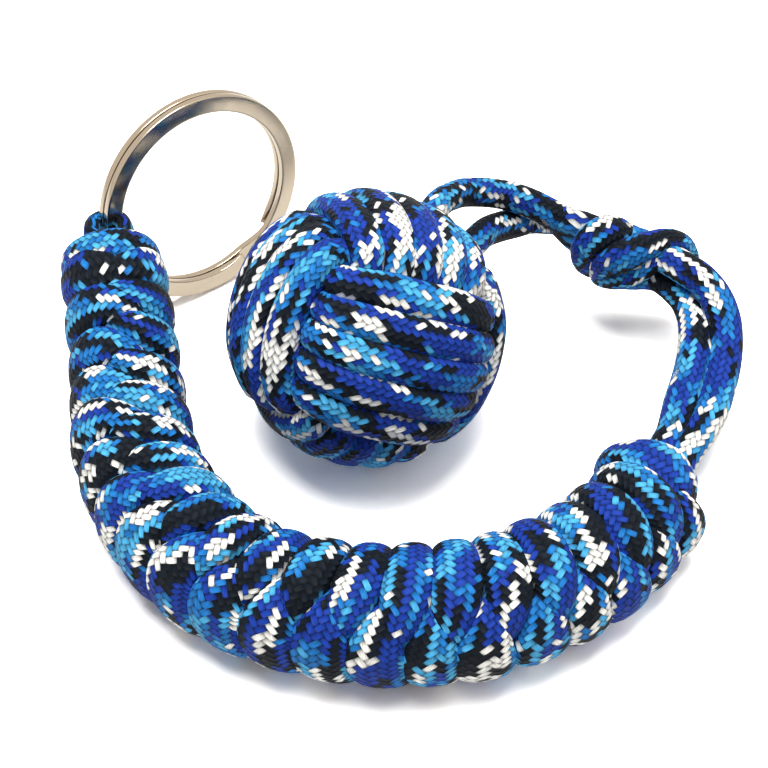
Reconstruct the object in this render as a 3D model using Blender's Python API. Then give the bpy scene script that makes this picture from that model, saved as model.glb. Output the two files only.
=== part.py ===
"""A monkey's fist key chain lying on a table.

A split ring hangs in a tight cord loop. Behind the loop two core strands are wrapped
by two cords into a stiff curved bar, leave it as a pair of legs, pass through an
overhand knot and end in a monkey's fist wound over a steel ball. Lengths are in
metres, +Z is up and the table is the plane z = 0. Route points are given from the
point of the table below the middle of the fist.
"""

import math

import bmesh
import bpy
import numpy as np

# Cord
CORD_DIAMETER = 0.0039
LOOP_CORD_DIAMETER = 0.0034
PAIR_GAP = 0.0004
SEAT_GAP = 0.0003
FLAT_DEPTH = 0.00036

# Monkey's fist
FIST_DIAMETER = 0.038
FIST_PASSES = 5
FIST_PASS_PITCH = FIST_DIAMETER * 42 / 380
FIST_PASS_GAP = 0.00062
FIST_BAND_THICKNESS = FIST_DIAMETER * 34 / 380
FIST_UNDER_THICKNESS = FIST_DIAMETER * 29 / 380
FIST_UNDER_RADIUS = FIST_DIAMETER * 129 / 380
CORE_BALL_CLEARANCE = 0.00055
FIST_UNDER_BUNCHING = 0.72
FIST_BUNCHING_START = 0.4
FIST_DIVE_START_DEG = 38.0
FIST_DIVE_END_DEG = 54.0
FIST_FRONT = (0.348, -0.835, 0.427)
FIST_TOP = (0.310, 0.535, 0.786)

# Wrapped bar
BAR_RADIUS = 0.0083
BAR_RING_END_RADIUS = 0.0078
BAR_LANYARD_END_RADIUS = 0.0076
BAR_TAPER_LENGTH = 0.009
BAR_WRAPS = 22
WRAP_START = 0.0021
WRAP_THICKNESS = 0.0037
WRAP_END_THICKNESS = 0.0031
WRAP_GAP = 0.00085
CHEVRON_DEPTH = 0.0036
CHEVRON_RAMP = 0.018
SEAM_STEP_SHARE = 0.2
SEAM_ANGLES_DEG = (-16.0, 10.0, 45.0, 55.0)
SEAM_STATIONS = (0.0, 0.35, 0.62, 1.0)
CORE_END_REACH = 0.0008
BAR_ROUTE = (
    (-0.0364, 0.0140, 0.0100),
    (-0.0346, 0.0044, 0.0065),
    (-0.0335, -0.0020, 0.0043),
    (-0.0320, -0.0095, 0.0021),
    (-0.0295, -0.0170, 0.0007),
    (-0.0254, -0.0248, 0.0),
    (-0.0199, -0.0312, 0.0),
    (-0.0132, -0.0359, 0.0),
    (-0.0056, -0.0389, 0.0),
    (0.0020, -0.0403, 0.0),
    (0.0094, -0.0403, 0.0),
    (0.0170, -0.0389, 0.0),
    (0.0248, -0.0356, 0.0),
    (0.0316, -0.0305, 0.0),
    (0.0373, -0.0240, 0.0),
    (0.0413, -0.0173, 0.0),
    (0.0440, -0.0115, 0.0),
)

# Split ring and the loop that holds it
RING_DIAMETER = 0.034
RING_WIRE_WIDTH = 0.0022
RING_COIL_THICKNESS = 0.00085
RING_COIL_GAP = 0.0002
RING_RAMP_DEG = 24.0
RING_START_DEG = 250.0
RING_HEADING_DEG = 37.6
RING_LEAN_DEG = 6.6
RING_GRIP_DEG = 8.0
RING_REST_GAP = 0.00005
LOOP_EYE_CLEARANCE = 0.0004
LOOP_EYE_OFFSET = 0.0063

# Lanyard: two legs, an overhand knot and two more legs
LOWER_ROUTE = (
    (0.0474, -0.0040, 0.0092),
    (0.0494, 0.0020, 0.0114),
    (0.0501, 0.0075, 0.0134),
    (0.0489, 0.0128, 0.0148),
    (0.0458, 0.0167, 0.0153),
    (0.0412, 0.0190, 0.0154),
    (0.0362, 0.0210, 0.0155),
    (0.0316, 0.0229, 0.0156),
)
PAIR_TURN_START = 0.30
PAIR_TURN_END = 0.68
UPPER_ROUTE_A = (
    (0.0265, 0.0256, 0.0184),
    (0.0218, 0.0268, 0.0201),
    (0.0172, 0.0257, 0.0226),
    (0.0140, 0.0229, 0.0245),
)
UPPER_ROUTE_B = (
    (0.0262, 0.0243, 0.0136),
    (0.0222, 0.0236, 0.0141),
    (0.0187, 0.0211, 0.0146),
)
FIST_EXIT_A = (0.501, 0.819, 0.261)
FIST_EXIT_B = (0.666, 0.721, -0.154)
KNOT_TURNS = 2.2
KNOT_PITCH = 0.0050
KNOT_TILT = 0.0022
KNOT_CORD_DIAMETER = 0.0034
KNOT_MIDDLE = 0.0079
KNOT_CLEARANCE = 0.0004

# Faces of the model
BAND_FLAT_SHARE = 0.62
POINTS_PER_WRAP = 16
POINTS_PER_KNOT_TURN = 14
RING_POINTS_PER_TURN = 44
LOOP_POINTS = 21
ROUTE_STEP = 0.0085
LEG_STEP = 0.0042
FLOOR_SIDE = 0.3
FLOOR_THICKNESS = 0.02

# Colours
ROYAL_BLUE = (0.035, 0.052, 0.43, 1.0)
AZURE = (0.03, 0.22, 0.62, 1.0)
BLUE_BLACK = (0.025, 0.03, 0.10, 1.0)
STEEL = (0.60, 0.58, 0.53, 1.0)

FIST_RADIUS = FIST_DIAMETER / 2
FIST_CENTRE = np.array((0.0, 0.0, FIST_RADIUS - FLAT_DEPTH))
OVER_RADIUS = FIST_RADIUS - FIST_BAND_THICKNESS / 2
CORE_BALL_RADIUS = FIST_UNDER_RADIUS - FIST_UNDER_THICKNESS / 2 - CORE_BALL_CLEARANCE
PAIR_OFFSET = (CORD_DIAMETER + PAIR_GAP) / 2
CORD_RADIUS = CORD_DIAMETER / 2
UP = np.array((0.0, 0.0, 1.0))


def unit(vector):
    """The vector at length one."""
    vector = np.asarray(vector, float)
    return vector / np.linalg.norm(vector)


class Route:
    """A smooth curve through a few chosen points, measured along its length."""

    SPAN_STEPS = 24

    def __init__(self, points):
        points = np.asarray(points, float)
        ends = (2 * points[:1] - points[1:2], points, 2 * points[-1:] - points[-2:-1])
        padded = np.concatenate(ends)
        dense = []
        for a, b, c, d in zip(padded, padded[1:], padded[2:], padded[3:]):
            for t in np.linspace(0, 1, self.SPAN_STEPS, endpoint=False):
                cubic = (3 * b - a - 3 * c + d) * t**3
                square = (2 * a - 5 * b + 4 * c - d) * t**2
                dense.append((2 * b + (c - a) * t + square + cubic) / 2)
        dense.append(points[-1])
        self.dense = np.array(dense)
        steps = np.linalg.norm(np.diff(self.dense, axis=0), axis=1)
        self.reach = np.concatenate(([0.0], np.cumsum(steps)))
        self.length = self.reach[-1]

    def at(self, distance):
        """The point this far along, going straight on past either end."""
        inside = min(max(distance, 0.0), self.length)
        point = np.array([np.interp(inside, self.reach, axis) for axis in self.dense.T])
        return point + (distance - inside) * self.heading(inside)

    def heading(self, distance):
        """The direction of travel this far along."""
        half = self.length / 200
        middle = min(max(distance, half), self.length - half)
        ahead, behind = (
            np.array([np.interp(middle + side * half, self.reach, axis) for axis in self.dense.T])
            for side in (1, -1)
        )
        return unit(ahead - behind)

    def right(self, distance):
        """The level direction to the right of travel."""
        return unit(np.cross(self.heading(distance), UP))


def smooth_step(value):
    """An even blend from 0 to 1 as the value goes from 0 to 1."""
    value = min(max(value, 0.0), 1.0)
    return value * value * (3 - 2 * value)


def material(name, colour, roughness, metallic=0.0):
    """A plain surface for one sub-part."""
    made = bpy.data.materials.new(name)
    made.use_nodes = True
    shader = made.node_tree.nodes["Principled BSDF"]
    shader.inputs["Base Color"].default_value = colour
    shader.inputs["Roughness"].default_value = roughness
    shader.inputs["Metallic"].default_value = metallic
    made.diffuse_color = colour
    return made


def clear_scene():
    """Removes every object that the file starts with."""
    for found in list(bpy.data.objects):
        bpy.data.objects.remove(found, do_unlink=True)


def pivot(name, place, parent=None):
    """An empty on a joint's axis, which carries the pieces that move there."""
    empty = bpy.data.objects.new(name, None)
    empty.empty_display_size = CORD_DIAMETER
    bpy.context.scene.collection.objects.link(empty)
    empty.parent = parent
    origin = np.array(place) - (PLACES[parent.name] if parent else 0)
    empty.location = origin
    PLACES[name] = np.array(place, float)
    return empty


PLACES = {}


def link(name, data, carrier, look):
    """Adds an object under the empty that carries it."""
    made = bpy.data.objects.new(name, data)
    data.materials.append(look)
    bpy.context.scene.collection.objects.link(made)
    made.parent = carrier
    return made


def mesh_piece(name, points, faces, carrier, look):
    """A closed mesh from points in route coordinates."""
    mesh = bpy.data.meshes.new(name)
    local = np.asarray(points) - PLACES[carrier.name]
    mesh.from_pydata([tuple(p) for p in local], [], faces)
    work = bmesh.new()
    work.from_mesh(mesh)
    bmesh.ops.recalc_face_normals(work, faces=work.faces)
    work.to_mesh(mesh)
    work.free()
    mesh.shade_smooth()
    mesh.set_sharp_from_angle(angle=math.radians(50))
    return link(name, mesh, carrier, look)


def band_sections(points, outward, widths, thicknesses):
    """Six corners round each point of a band: flat outside, flat inside, pointed sides."""
    points = np.asarray(points)
    ahead = np.diff(points, axis=0)
    ahead /= np.linalg.norm(ahead, axis=1)[:, None]
    along = np.concatenate((ahead[:1], ahead[:-1] + ahead[1:], ahead[-1:]))
    rings = []
    for point, heading, out, width, thick in zip(points, along, outward, widths, thicknesses):
        heading = unit(heading)
        out = unit(out - heading * np.dot(out, heading))
        side = np.cross(heading, out)
        flat = BAND_FLAT_SHARE
        corners = ((1, 0), (flat, 1), (-flat, 1), (-1, 0), (-flat, -1), (flat, -1))
        rings.append([point + side * width * a / 2 + out * thick * b / 2 for a, b in corners])
    return np.array(rings)


def sweep(name, rings, carrier, look):
    """One unbroken tube through the rings of corners, closed at both ends."""
    count, sides = rings.shape[:2]
    faces = [tuple(range(sides)), tuple(range((count - 1) * sides, count * sides))]
    for ring in range(count - 1):
        for corner in range(sides):
            here = ring * sides + corner
            there = ring * sides + (corner + 1) % sides
            faces.append((here, there, there + sides, here + sides))
    return mesh_piece(name, rings.reshape(-1, 3), faces, carrier, look)


def cord_piece(name, points, diameter, carrier, look, rounded=(False, False)):
    """A round cord along its points, with domed ends where it turns on a joint."""
    points = [np.asarray(p, float) for p in points]
    sizes = [1.0] * len(points)
    for end in (0, -1):
        if not rounded[end]:
            continue
        inner = points[1 if end == 0 else -2]
        away = unit(inner - points[end])
        dome = [(points[end] + away * diameter / 2 * (1 - math.cos(a)), math.sin(a))
                for a in (math.radians(18), math.radians(50), math.radians(90))]
        if end == 0:
            points[:1] = [p for p, _ in dome]
            sizes[:1] = [s for _, s in dome]
        else:
            points[-1:] = [p for p, _ in reversed(dome)]
            sizes[-1:] = [s for _, s in reversed(dome)]
    curve = bpy.data.curves.new(name, "CURVE")
    curve.dimensions = "3D"
    curve.bevel_depth = diameter / 2
    curve.bevel_resolution = 2
    curve.use_fill_caps = True
    spline = curve.splines.new("POLY")
    spline.points.add(len(points) - 1)
    for place, point, size in zip(spline.points, points, sizes):
        place.co = (*(point - PLACES[carrier.name]), 1.0)
        place.radius = size
    spline.use_smooth = True
    return link(name, curve, carrier, look)


def rest_flat(piece, floor):
    """Cuts the piece off at the table."""
    cut = piece.modifiers.new("rest flat", "BOOLEAN")
    cut.operation = "DIFFERENCE"
    cut.solver = "EXACT"
    cut.object = floor


def table_cutter():
    """A block whose top is the table, used only to cut the resting flats."""
    mesh = bpy.data.meshes.new("table_cutter")
    work = bmesh.new()
    bmesh.ops.create_cube(work, size=1.0)
    bmesh.ops.scale(work, vec=(FLOOR_SIDE, FLOOR_SIDE, FLOOR_THICKNESS), verts=work.verts)
    bmesh.ops.translate(work, vec=(0, 0, -FLOOR_THICKNESS / 2), verts=work.verts)
    work.to_mesh(mesh)
    work.free()
    cutter = bpy.data.objects.new("table_cutter", mesh)
    bpy.context.scene.collection.objects.link(cutter)
    cutter.hide_render = True
    cutter.display_type = "WIRE"
    return cutter


def skin_points(rings):
    """Points on a tube's surface: its corners, and others halfway along each edge."""
    halves = (rings[1:] + rings[:-1]) / 2
    return np.concatenate((rings, halves)), np.concatenate(
        (np.arange(len(rings)), np.arange(len(rings) - 1) + 0.5)
    )


def least_gap(rings, apart, others=None):
    """The least distance from a tube to itself a stretch away, or to other tubes."""
    skin, place = skin_points(rings)
    least = math.inf
    targets = [(skin, place)] if others is None else [skin_points(o) for o in others]
    for ring, at in zip(skin, place):
        for points, places in targets:
            chosen = points if others is not None else points[np.abs(places - at) > apart]
            if len(chosen):
                flat = chosen.reshape(-1, 3)
                least = min(least, np.sqrt(((ring[:, None] - flat) ** 2).sum(-1)).min())
    return least


def report_gap(name, gap):
    """Prints a measured gap in millimetres."""
    print(f"{name}: least gap {gap * 1000:.2f} mm")


# Monkey's fist


def fist_frame():
    """The directions out of the fist's front, left and top faces."""
    front = unit(FIST_FRONT)
    top = unit(np.array(FIST_TOP) - front * np.dot(FIST_TOP, front))
    return front, np.cross(top, front), top


def quarter_pass():
    """A pass from the middle of its outer face to the middle of its inner one.

    Each entry has the angle, the distance from the fist's middle, how far the passes
    bunch together and the thickness. They bunch and thin out as they dive.
    """
    start, end = math.radians(FIST_DIVE_START_DEG), math.radians(FIST_DIVE_END_DEG)
    angles = (0.0, start / 2, start, (start + end) / 2, end, (end + math.pi / 2) / 2)
    bunching_start = start * FIST_BUNCHING_START
    shape = []
    for angle in (*angles, math.pi / 2):
        dive = min(max((angle - start) / (end - start), 0.0), 1.0)
        radius = OVER_RADIUS + (FIST_UNDER_RADIUS - OVER_RADIUS) * dive
        bunched = smooth_step((angle - bunching_start) / (end - bunching_start))
        thick = FIST_BAND_THICKNESS + (FIST_UNDER_THICKNESS - FIST_BAND_THICKNESS) * dive
        shape.append((angle, radius, 1 - (1 - FIST_UNDER_BUNCHING) * bunched, thick))
    return shape


def whole_pass():
    """A pass once round the fist."""
    quarter = quarter_pass()
    mirrored = [(math.pi - a, *rest) for a, *rest in reversed(quarter[1:-1])]
    half = quarter + mirrored
    return half + [(math.pi + a, *rest) for a, *rest in half]


def fist_set(normal, over, under):
    """The corners of one set of passes, wound as one spiral round the ball."""
    middle = (FIST_PASSES - 1) / 2
    hidden = math.radians(FIST_DIVE_END_DEG)
    points, outward, widths, thicknesses = [], [], [], []
    for turn in range(FIST_PASSES + 1):
        for angle, radius, bunching, thick in whole_pass():
            share = (angle - hidden) / (math.pi - 2 * hidden)
            if turn == 0 and share < 1 or turn == FIST_PASSES and share > 0:
                continue
            place = turn - 1 + min(max(share, 0.0), 1.0) - middle
            offset = place * FIST_PASS_PITCH * bunching
            arm = over * math.cos(angle) + under * math.sin(angle)
            out = arm * math.sqrt(radius**2 - offset**2) + normal * offset
            points.append(FIST_CENTRE + out)
            outward.append(out)
            widths.append(FIST_PASS_PITCH * bunching - FIST_PASS_GAP)
            thicknesses.append(thick)
    return band_sections(points, outward, widths, thicknesses)


def build_fist(carrier, floor, looks):
    """The steel ball and the three sets of passes over it."""
    mesh = bpy.data.meshes.new("core_ball")
    work = bmesh.new()
    bmesh.ops.create_uvsphere(
        work, u_segments=20, v_segments=12, radius=CORE_BALL_RADIUS
    )
    local = FIST_CENTRE - PLACES[carrier.name]
    bmesh.ops.translate(work, vec=tuple(local), verts=work.verts)
    work.to_mesh(mesh)
    work.free()
    mesh.shade_smooth()
    link("core_ball", mesh, carrier, looks["steel"])
    front, left, top = fist_frame()
    sets = {
        "fist_wraps_front": fist_set(top, front, left),
        "fist_wraps_left": fist_set(front, left, top),
        "fist_wraps_top": fist_set(left, top, front),
    }
    colours = ("royal", "azure", "royal")
    for (name, rings), colour in zip(sets.items(), colours):
        piece = sweep(name, rings, carrier, looks[colour])
        rest_flat(piece, floor)
        report_gap(name + " to itself", least_gap(rings, 12))
    named = list(sets.items())
    for index, (name, rings) in enumerate(named):
        for other, others in named[index + 1:]:
            report_gap(f"{name} to {other}", least_gap(rings, 0, [others]))


# Wrapped bar


def rest_height():
    """How high the middle of the bar lies where it rests on its flats."""
    return BAR_RADIUS - FLAT_DEPTH


def bar_route():
    """The middle line of the bar, from the ring to the lanyard."""
    return Route([(x, y, lift + rest_height()) for x, y, lift in BAR_ROUTE])


def bar_radius(share):
    """The outer radius of the wraps, drawn in towards both ends."""
    taper = BAR_TAPER_LENGTH / bar_route_length()
    ring_end = BAR_RADIUS - BAR_RING_END_RADIUS
    lanyard_end = BAR_RADIUS - BAR_LANYARD_END_RADIUS
    drawn = ring_end * (1 - smooth_step(share / taper))
    return BAR_RADIUS - drawn - lanyard_end * (1 - smooth_step((1 - share) / taper))


def bar_route_length():
    """The length of the wrapped bar."""
    return BAR.length


def wrap_thickness(share):
    """The wraps thin out where the bar tapers."""
    taper = BAR_TAPER_LENGTH / bar_route_length()
    full = smooth_step(share / taper) * smooth_step((1 - share) / taper)
    return WRAP_END_THICKNESS + (WRAP_THICKNESS - WRAP_END_THICKNESS) * full


def seam_axes(distance):
    """The direction of the seam and the one across it, square to the bar."""
    share = distance / BAR.length
    angle = math.radians(np.interp(share, SEAM_STATIONS, SEAM_ANGLES_DEG))
    ahead, right = BAR.heading(distance), BAR.right(distance)
    above = np.cross(right, ahead)
    seam = above * math.cos(angle) + right * math.sin(angle)
    return seam, np.cross(ahead, seam)


def wrap_place(wound):
    """How far along the bar a wrap lies once it has wound this far from the seam."""
    pitch = WRAP_SPACING * 2
    step = SEAM_STEP_SHARE * math.sin(2 * wound)
    plain = WRAP_START + pitch * (wound + step) / (2 * math.pi)
    arms = math.sqrt(math.sin(wound) ** 2 + 0.01) - 0.1
    ramp = smooth_step(plain / CHEVRON_RAMP) * smooth_step((BAR.length - plain) / CHEVRON_RAMP)
    return plain + CHEVRON_DEPTH * arms * ramp


def wrap_point(distance, azimuth):
    """The middle of a wrap there, the way out from the bar, and its thickness."""
    share = distance / BAR.length
    seam, across = seam_axes(distance)
    out = seam * math.cos(azimuth) + across * math.sin(azimuth)
    thick = wrap_thickness(share)
    return BAR.at(distance) + out * (bar_radius(share) - thick / 2), out, thick


def wrap_tube(start_half):
    """One of the two cords that wind round the bar, starting on either side."""
    loops = BAR_WRAPS // 2
    count = loops * POINTS_PER_WRAP + 1
    points, outward, thicknesses, spacings = [], [], [], []
    for index in range(count):
        wound = 2 * math.pi * index / POINTS_PER_WRAP
        azimuth = wound + math.pi * start_half
        distance = wrap_place(wound)
        point, out, thick = wrap_point(distance, azimuth)
        points.append(point)
        outward.append(out)
        thicknesses.append(thick)
        beside = wrap_point(wrap_place(wound + math.pi), azimuth)[0] - point
        behind = point - wrap_point(wrap_place(wound - math.pi), azimuth)[0]
        spacings.append(min(beside, behind, key=np.linalg.norm))
    headings = np.gradient(np.array(points), axis=0)
    widths = []
    for heading, spacing in zip(headings, spacings):
        heading = unit(heading)
        clear = np.linalg.norm(spacing - heading * np.dot(spacing, heading))
        widths.append(clear - WRAP_GAP)
    return band_sections(points, outward, widths, thicknesses)


def core_points(side):
    """The middle of one core strand, from one end of the bar to the other."""
    count = max(2, math.ceil((BAR.length + 2 * CORE_END_REACH) / ROUTE_STEP)) + 1
    spans = np.linspace(-CORE_END_REACH, BAR.length + CORE_END_REACH, count)
    return [BAR.at(d) + BAR.right(d) * PAIR_OFFSET * side for d in spans]


def build_bar(carrier, floor, looks):
    """Two core strands and the two cords wound over them."""
    tubes = {"bar_wrap_a": wrap_tube(0), "bar_wrap_b": wrap_tube(1)}
    for (name, rings), colour in zip(tubes.items(), ("royal", "azure")):
        piece = sweep(name, rings, carrier, looks[colour])
        rest_flat(piece, floor)
        report_gap(name + " to itself", least_gap(rings, POINTS_PER_WRAP * 0.6))
    report_gap("bar_wrap_a to bar_wrap_b",
               least_gap(tubes["bar_wrap_a"], 0, [tubes["bar_wrap_b"]]))
    for name, side in (("core_strand_a", 1), ("core_strand_b", -1)):
        cord_piece(name, core_points(side), CORD_DIAMETER, carrier, looks["dark"])


# Split ring and loop


def ring_axes():
    """The ring's own axis, the level direction towards the bar, and the way up it."""
    heading, lean = math.radians(RING_HEADING_DEG), math.radians(RING_LEAN_DEG)
    level = np.array((math.cos(heading), math.sin(heading), 0.0))
    square = np.cross(level, UP)
    axis = square * math.cos(lean) + UP * math.sin(lean)
    return axis, -level, unit(np.cross(-level, axis))


def ring_wire_radius():
    """The radius of the middle of the ring's wire."""
    return (RING_DIAMETER - RING_WIRE_WIDTH) / 2


def ring_rest_height():
    """How high the ring's middle is when the ring stands on the table."""
    axis, _, _ = ring_axes()
    half_depth = RING_COIL_THICKNESS + RING_COIL_GAP / 2
    reach = RING_DIAMETER / 2 * math.hypot(axis[0], axis[1]) + half_depth * abs(axis[2])
    return reach + RING_REST_GAP


def ring_grip():
    """The direction along the wire where the loop holds it."""
    _, level, upward = ring_axes()
    angle = math.radians(RING_GRIP_DEG)
    arm = level * math.cos(angle) + upward * math.sin(angle)
    along = upward * math.cos(angle) - level * math.sin(angle)
    return arm, along


def loop_line():
    """The loop's middle line: out along the bar, then square to the ring's wire."""
    start, ahead = BAR.at(-CORE_END_REACH - SEAT_GAP), -BAR.heading(0.0)
    _, along = ring_grip()
    level = unit(ahead - along * np.dot(ahead, along))
    return start, ahead, level


def ring_centre():
    """The ring's middle, placed so that its wire passes through the loop's eye."""
    arm, _ = ring_grip()
    return eye_centre() - arm * ring_wire_radius()


def eye_centre():
    """The middle of the loop's eye."""
    start, ahead, level = loop_line()
    eye = start + (ahead + level) / 2 * LOOP_EYE_OFFSET
    arm, _ = ring_grip()
    eye[2] = ring_rest_height() + arm[2] * ring_wire_radius()
    return eye


def loop_points():
    """The loop's cord: out beside the bar's axis, round the wire and back."""
    start, ahead, level = loop_line()
    sideways = BAR.right(0.0)
    square_side = unit(np.cross(level, np.cross(sideways, level)))
    wire = math.hypot(RING_WIRE_WIDTH, 2 * RING_COIL_THICKNESS + RING_COIL_GAP) / 2
    bow = wire + LOOP_EYE_CLEARANCE + LOOP_CORD_DIAMETER / 2
    eye = eye_centre()
    points = []
    for side in (1, -1):
        root = start + sideways * PAIR_OFFSET * side
        straight = root + ahead * LOOP_CORD_DIAMETER * 0.45
        spread = eye + square_side * bow * side - level * bow * 0.15
        leg = [root, straight]
        for share in (0.35, 0.7):
            blend = smooth_step(share)
            level_point = straight + (spread - straight) * share
            bulge = square_side * (blend - share) * side * PAIR_OFFSET
            leg.append(level_point + bulge)
        points.append(leg)
    turns = LOOP_POINTS - 8
    bow_points = []
    for index in range(turns):
        angle = math.pi * index / (turns - 1)
        bow_points.append(
            eye + square_side * bow * math.cos(angle) + level * bow * math.sin(angle)
        )
    return points[0] + bow_points + points[1][::-1]


def ring_rings():
    """The four corners of the ring's flat wire along its two coils."""
    axis, level, upward = ring_axes()
    centre, radius = ring_centre(), ring_wire_radius()
    ramp = math.radians(RING_RAMP_DEG)
    reach = 4 * math.pi - ramp
    count = round(RING_POINTS_PER_TURN * reach / (2 * math.pi)) + 1
    angles = sorted(
        set(np.linspace(0, reach, count)) | {2 * math.pi - ramp, 2 * math.pi}
    )
    rise = (RING_COIL_THICKNESS + RING_COIL_GAP) / 2
    rings = []
    for angle in angles:
        share = min(max((angle - 2 * math.pi + ramp) / ramp, 0.0), 1.0)
        lift = rise * (1 - 2 * share)
        turned = angle + math.radians(RING_START_DEG)
        arm = level * math.cos(turned) + upward * math.sin(turned)
        corners = ((1, 1), (1, -1), (-1, -1), (-1, 1))
        rings.append([
            centre + arm * (radius + a * RING_WIRE_WIDTH / 2)
            + axis * (lift + b * RING_COIL_THICKNESS / 2)
            for a, b in corners
        ])
    return np.array(rings)


# Lanyard


def lower_route():
    """The middle line of the two legs between the bar and the knot's far side."""
    start = BAR.at(BAR.length + CORE_END_REACH + SEAT_GAP)
    straight = BAR.at(BAR.length + CORE_END_REACH + SEAT_GAP + CORD_DIAMETER)
    return Route([tuple(start), tuple(straight), *LOWER_ROUTE])


def pair_side(route, distance):
    """From one leg towards the other: level at the bar, upright in the knot."""
    share = (distance / route.length - PAIR_TURN_START) / (PAIR_TURN_END - PAIR_TURN_START)
    angle = math.pi / 2 * smooth_step(share)
    right = route.right(distance)
    above = np.cross(right, route.heading(distance))
    return right * math.cos(angle) + above * math.sin(angle)


def lower_leg(route, side):
    """One leg of the lower pair."""
    count = math.ceil(route.length / LEG_STEP) + 1
    spans = np.linspace(0, route.length, count)
    return [route.at(d) + pair_side(route, d) * PAIR_OFFSET * side for d in spans]


def fist_exit(direction):
    """The point where a leg meets the fist, and the one a diameter further out."""
    way = unit(direction)
    near = FIST_CENTRE + way * (FIST_RADIUS + SEAT_GAP)
    return near, near + way * CORD_DIAMETER


def upper_leg(route, points, direction, side):
    """One leg of the upper pair, from the knot to the fist."""
    ahead = route.heading(route.length)
    root = route.at(route.length) + pair_side(route, route.length) * PAIR_OFFSET * side
    start = root + ahead * SEAT_GAP
    near, far = fist_exit(direction)
    through = [start, start + ahead * CORD_DIAMETER * 0.6, *points, far, near]
    line = Route(through)
    count = math.ceil(line.length / LEG_STEP) + 1
    return [line.at(d) for d in np.linspace(0, line.length, count)]


def knot_rings(route):
    """The overhand knot's turns, drawn slantwise round the two legs."""
    section = KNOT_CORD_DIAMETER / 2
    tall = PAIR_OFFSET + CORD_RADIUS + KNOT_CLEARANCE + section
    wide = CORD_RADIUS + KNOT_CLEARANCE + section
    count = round(KNOT_TURNS * POINTS_PER_KNOT_TURN) + 1
    middle = route.length - KNOT_MIDDLE
    points, outward = [], []
    for index in range(count):
        angle = 2 * math.pi * (index / POINTS_PER_KNOT_TURN - KNOT_TURNS / 2)
        slant = KNOT_TILT * math.cos(angle)
        distance = middle + KNOT_PITCH * angle / (2 * math.pi) + slant
        upright = pair_side(route, distance)
        level = np.cross(route.heading(distance), upright)
        out = upright * math.cos(angle) + level * math.sin(angle)
        bulge = abs(math.sin(2 * angle)) * KNOT_CLEARANCE
        reach = upright * tall * math.cos(angle) + level * wide * math.sin(angle)
        points.append(route.at(distance) + reach + out * bulge)
        outward.append(out)
    widths = [KNOT_CORD_DIAMETER * 1.1] * count
    return band_sections(points, outward, widths, [KNOT_CORD_DIAMETER] * count)


def build_lanyard(lower, upper, route, looks):
    """Both pairs of legs and the knot between them."""
    for name, side in (("lower_leg_a", 1), ("lower_leg_b", -1)):
        points = lower_leg(route, side)
        cord_piece(name, points, CORD_DIAMETER, lower, looks["azure"], (True, False))
    rings = knot_rings(route)
    sweep("overhand_knot", rings, lower, looks["royal"])
    report_gap("overhand_knot to itself", least_gap(rings, POINTS_PER_KNOT_TURN * 0.6))
    for name, points, way, side in (
        ("upper_leg_a", UPPER_ROUTE_A, FIST_EXIT_A, 1),
        ("upper_leg_b", UPPER_ROUTE_B, FIST_EXIT_B, -1),
    ):
        line = upper_leg(route, points, way, side)
        cord_piece(name, line, CORD_DIAMETER, upper, looks["azure"], (True, True))


def centre_on_table(root):
    """Moves the whole key chain so that its plan is centred on the origin."""
    bpy.context.view_layer.update()
    corners = []
    for piece in bpy.data.objects:
        if piece.type in ("MESH", "CURVE") and not piece.hide_render:
            corners += [tuple(piece.matrix_world @ _vector(c)) for c in piece.bound_box]
    corners = np.array(corners)
    middle = (corners.min(axis=0) + corners.max(axis=0)) / 2
    root.location = (-middle[0], -middle[1], 0.0)
    print(f"plan centred by {-middle[0]:.6f} {-middle[1]:.6f}")


def _vector(corner):
    """A corner of a bounding box as a point that a matrix can move."""
    return bpy.data.objects[0].location.__class__(corner)


def describe(name, point):
    """Prints a joint's place from the root, in metres."""
    print(f"{name}: {point[0]:.6f} {point[1]:.6f} {point[2]:.6f}")


BAR = bar_route()
WRAP_SPACING = (BAR.length - 2 * WRAP_START) / BAR_WRAPS


def main():
    """Builds every sub-part."""
    clear_scene()
    looks = {
        "royal": material("royal_blue_cord", ROYAL_BLUE, 0.75),
        "azure": material("azure_cord", AZURE, 0.75),
        "dark": material("core_cord", BLUE_BLACK, 0.8),
        "steel": material("polished_steel", STEEL, 0.22, 1.0),
    }
    route = lower_route()
    arm, along = ring_grip()
    floor = table_cutter()
    dome = CORD_DIAMETER / 2
    lower_root = route.at(dome)
    upper_root = route.at(route.length + SEAT_GAP + dome)
    exits = [FIST_CENTRE + unit(way) * (FIST_RADIUS + SEAT_GAP + dome)
             for way in (FIST_EXIT_A, FIST_EXIT_B)]
    root = pivot("key_chain", (0.0, 0.0, 0.0))
    loop = pivot("loop_twist_axis", BAR.at(-CORE_END_REACH - SEAT_GAP), root)
    ring = pivot("ring_swing_axis", eye_centre(), loop)
    lower = pivot("lanyard_bend_axis", lower_root, root)
    upper = pivot("knot_bend_axis", upper_root, lower)
    fist = pivot("fist_swing_axis", (exits[0] + exits[1]) / 2, upper)
    floor.parent = root
    build_bar(root, floor, looks)
    cord_piece("end_loop", loop_points(), LOOP_CORD_DIAMETER, loop, looks["azure"])
    sweep("split_ring", ring_rings(), ring, looks["steel"])
    build_lanyard(lower, upper, route, looks)
    build_fist(fist, floor, looks)
    centre_on_table(root)
    describe("loop_twist axis", -BAR.heading(0.0))
    describe("ring_swing axis", along)
    describe("lanyard_bend axis", route.right(0.0))
    describe("knot_bend axis", pair_side(route, route.length))
    describe("fist_swing axis", unit(exits[1] - exits[0]))
    for empty in (loop, ring, lower, upper, fist):
        describe(empty.name, PLACES[empty.name] + np.array(root.location))


if __name__ == "__main__":
    main()
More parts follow.
